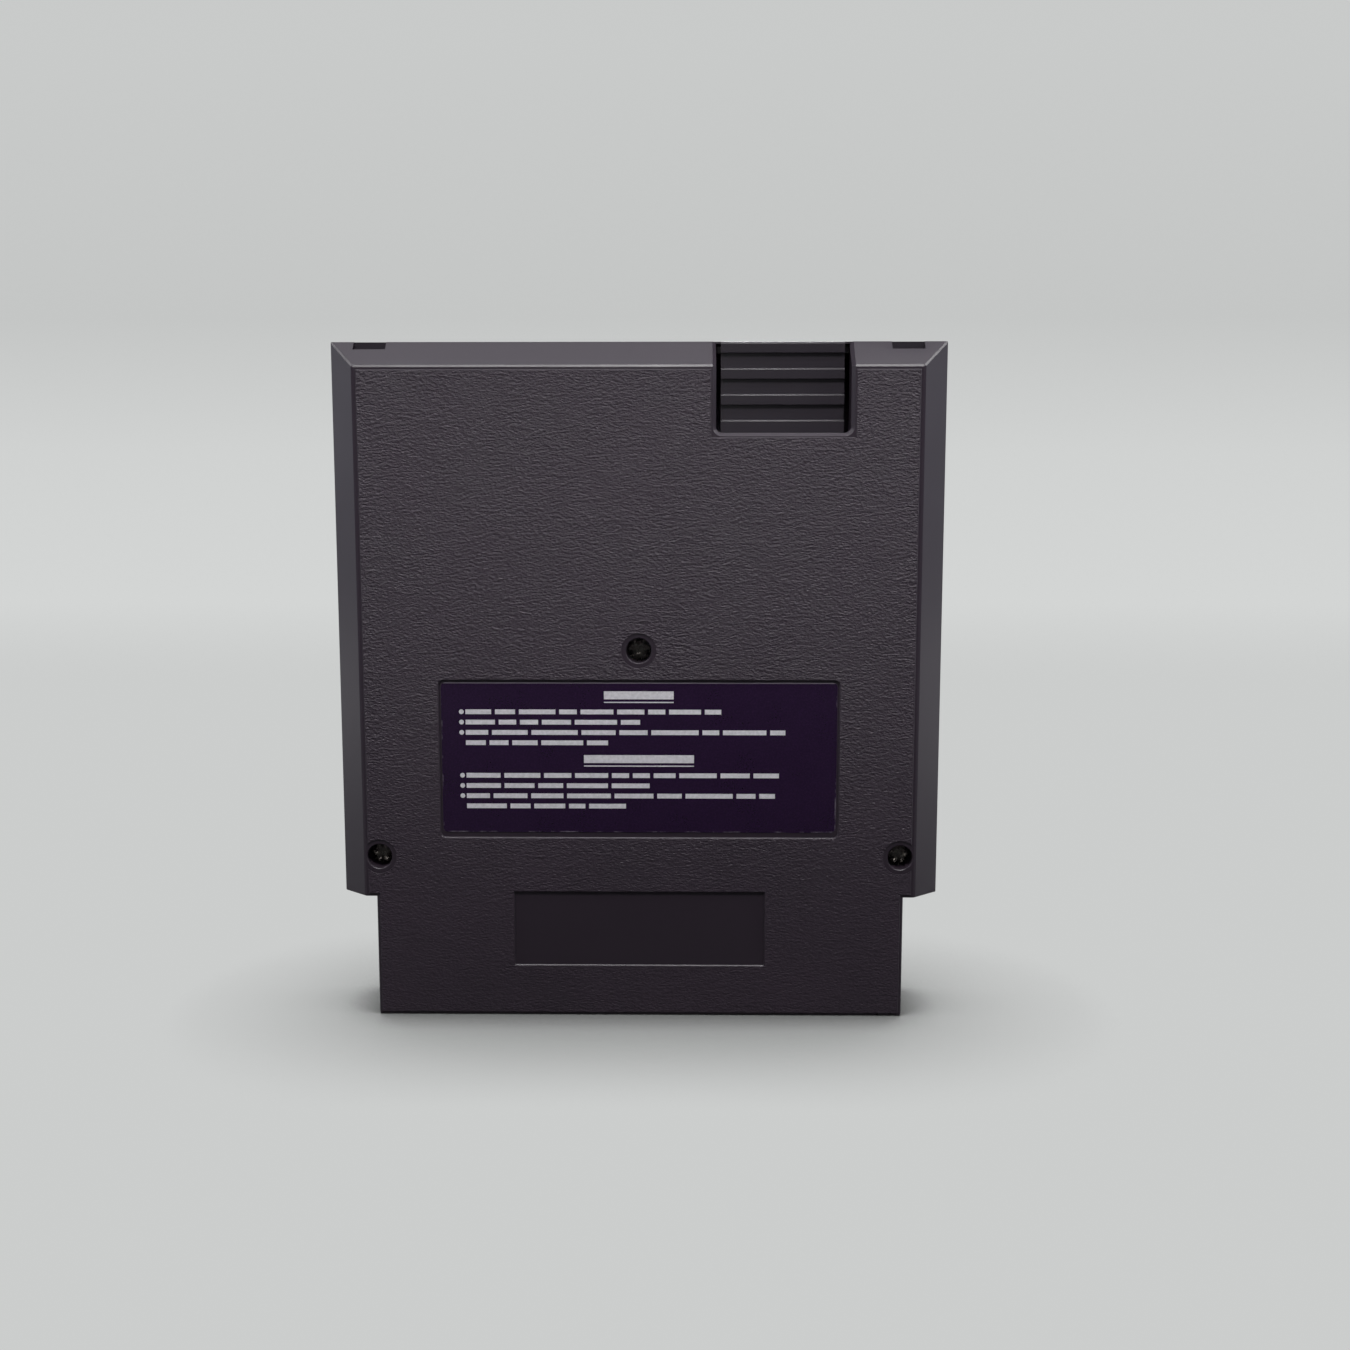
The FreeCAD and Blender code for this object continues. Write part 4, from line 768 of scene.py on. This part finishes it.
class CARTRIDGE_OT_stage(bpy.types.Operator):
    """Set up the floor, the backdrop, the light and the camera"""

    bl_idname = "cartridge.stage"
    bl_label = "Set the stage"

    def execute(self, context):
        settings = context.scene.cartridge
        self.make_sweep(context, settings)
        for lamp in LAMPS:
            self.add_area(context, lamp, getattr(settings.stage, lamp.power) * lamp.share)
        self.make_surroundings(context, settings)
        self.make_camera(context, settings)
        context.scene.view_settings.view_transform = "Standard"
        return {"FINISHED"}

    def make_sweep(self, context, settings):
        """A floor that sweeps up into the backdrop."""
        shape = bmesh.new()
        start = [shape.verts.new((x, SWEEP_BACK, 0.0)) for x in (-SWEEP_HALF, SWEEP_HALF)]
        edge = shape.edges.new(start)
        bent = bmesh.ops.spin(shape, geom=[edge, *start], cent=(0, SWEEP_BACK, SWEEP_BEND), axis=(1, 0, 0),
                              angle=math.radians(90), steps=SWEEP_STEPS, use_merge=False,
                              use_duplicate=False)["geom_last"]
        for edges, move in ((of_type(bent, bmesh.types.BMEdge), (0, 0, SWEEP_RISE)),
                            ([edge], (0, SWEEP_FRONT - SWEEP_BACK, 0))):
            drawn = bmesh.ops.extrude_edge_only(shape, edges=edges)["geom"]
            bmesh.ops.translate(shape, verts=of_type(drawn, bmesh.types.BMVert), vec=move)
        bmesh.ops.recalc_face_normals(shape, faces=shape.faces)
        facing = max(shape.faces, key=lambda face: face.calc_area())
        if facing.normal.z < -0.5 or facing.normal.y > 0.5:
            bmesh.ops.reverse_faces(shape, faces=shape.faces)
        mesh = bpy.data.meshes.new("sweep")
        shape.to_mesh(mesh)
        shape.free()
        mesh.materials.append(stage_paper(settings))
        for face in mesh.polygons:
            face.use_smooth = True
        sweep = bpy.data.objects.new("sweep", mesh)
        context.scene.collection.objects.link(sweep)

    def add_area(self, context, lamp, power):
        """A lamp that the camera doesn't see, turned toward its aim."""
        light = bpy.data.lights.new(lamp.name, "AREA")
        light.shape = "RECTANGLE"
        light.size, light.size_y = lamp.size
        light.energy = power
        light.spread = math.radians(lamp.spread)
        holder = bpy.data.objects.new(lamp.name, light)
        holder.location = lamp.place
        holder.rotation_euler = (Vector(lamp.aim) - Vector(lamp.place)).to_track_quat("-Z", "Y").to_euler()
        holder.visible_camera = False
        context.scene.collection.objects.link(holder)

    def make_surroundings(self, context, settings):
        """Pale surroundings that light the part from all sides but the camera's."""
        stage = settings.stage
        world = bpy.data.worlds.new("surroundings")
        world.use_nodes = True
        tree = world.node_tree
        start = Flow(tree)
        camera = start.node("ShaderNodeLightPath", {}, {}, "Is Camera Ray")
        direction = start.node("ShaderNodeTexCoord", {}, {}, "Generated")
        way = direction.axis("Y") * 0.5 + 0.5
        high = direction.axis("Z").ramp(*HIGH_TONES)
        light = way.ramp((FRONT_END, stage.front / stage.sky), (SIDE_START, 1.0)) * high * stage.sky
        tone = camera.mix(linear(settings.colours.tent), linear(settings.colours.wall))
        sky = start.node("ShaderNodeBackground", {}, {"Color": tone, "Strength": camera.mix(light, WHITE)})
        tree.links.new(sky.socket, tree.nodes["World Output"].inputs["Surface"])
        context.scene.world = world

    def make_camera(self, context, settings):
        """The photograph's view."""
        stage = settings.stage
        lens = bpy.data.cameras.new("camera")
        lens.sensor_width = 36.0
        lens.lens = stage.lens
        lens.clip_start = 0.01
        camera = bpy.data.objects.new("camera", lens)
        camera.location = stage.eye
        camera.rotation_euler = (math.radians(90) - stage.pitch, 0.0, stage.yaw)
        context.scene.collection.objects.link(camera)
        context.scene.camera = camera


STEPS = (CARTRIDGE_OT_shells, CARTRIDGE_OT_sticker, CARTRIDGE_OT_screws, CARTRIDGE_OT_board, CARTRIDGE_OT_stage)


class CARTRIDGE_PT_panel(bpy.types.Panel):
    """Steps and settings of the cartridge"""

    bl_label = "Cartridge"
    bl_idname = "CARTRIDGE_PT_panel"
    bl_space_type = "VIEW_3D"
    bl_region_type = "UI"
    bl_category = "Cartridge"

    def draw(self, context):
        settings = context.scene.cartridge
        for step in STEPS:
            self.layout.operator(step.bl_idname)
        for group in (settings.sizes, settings.colours, settings.stage):
            box = self.layout.box()
            for name in group.__annotations__:
                box.prop(group, name)


CLASSES = (CartridgeSizes, CartridgeColours, CartridgeStage, CartridgeSettings, *STEPS, CARTRIDGE_PT_panel)


def register():
    for item in CLASSES:
        bpy.utils.register_class(item)
    bpy.types.Scene.cartridge = PointerProperty(type=CartridgeSettings)


def unregister():
    del bpy.types.Scene.cartridge
    for item in reversed(CLASSES):
        bpy.utils.unregister_class(item)


def main():
    register()
    bpy.ops.cartridge.shells()
    bpy.ops.cartridge.sticker()
    bpy.ops.cartridge.screws()
    bpy.ops.cartridge.board()
    bpy.ops.cartridge.stage()


if __name__ == "__main__":
    main()
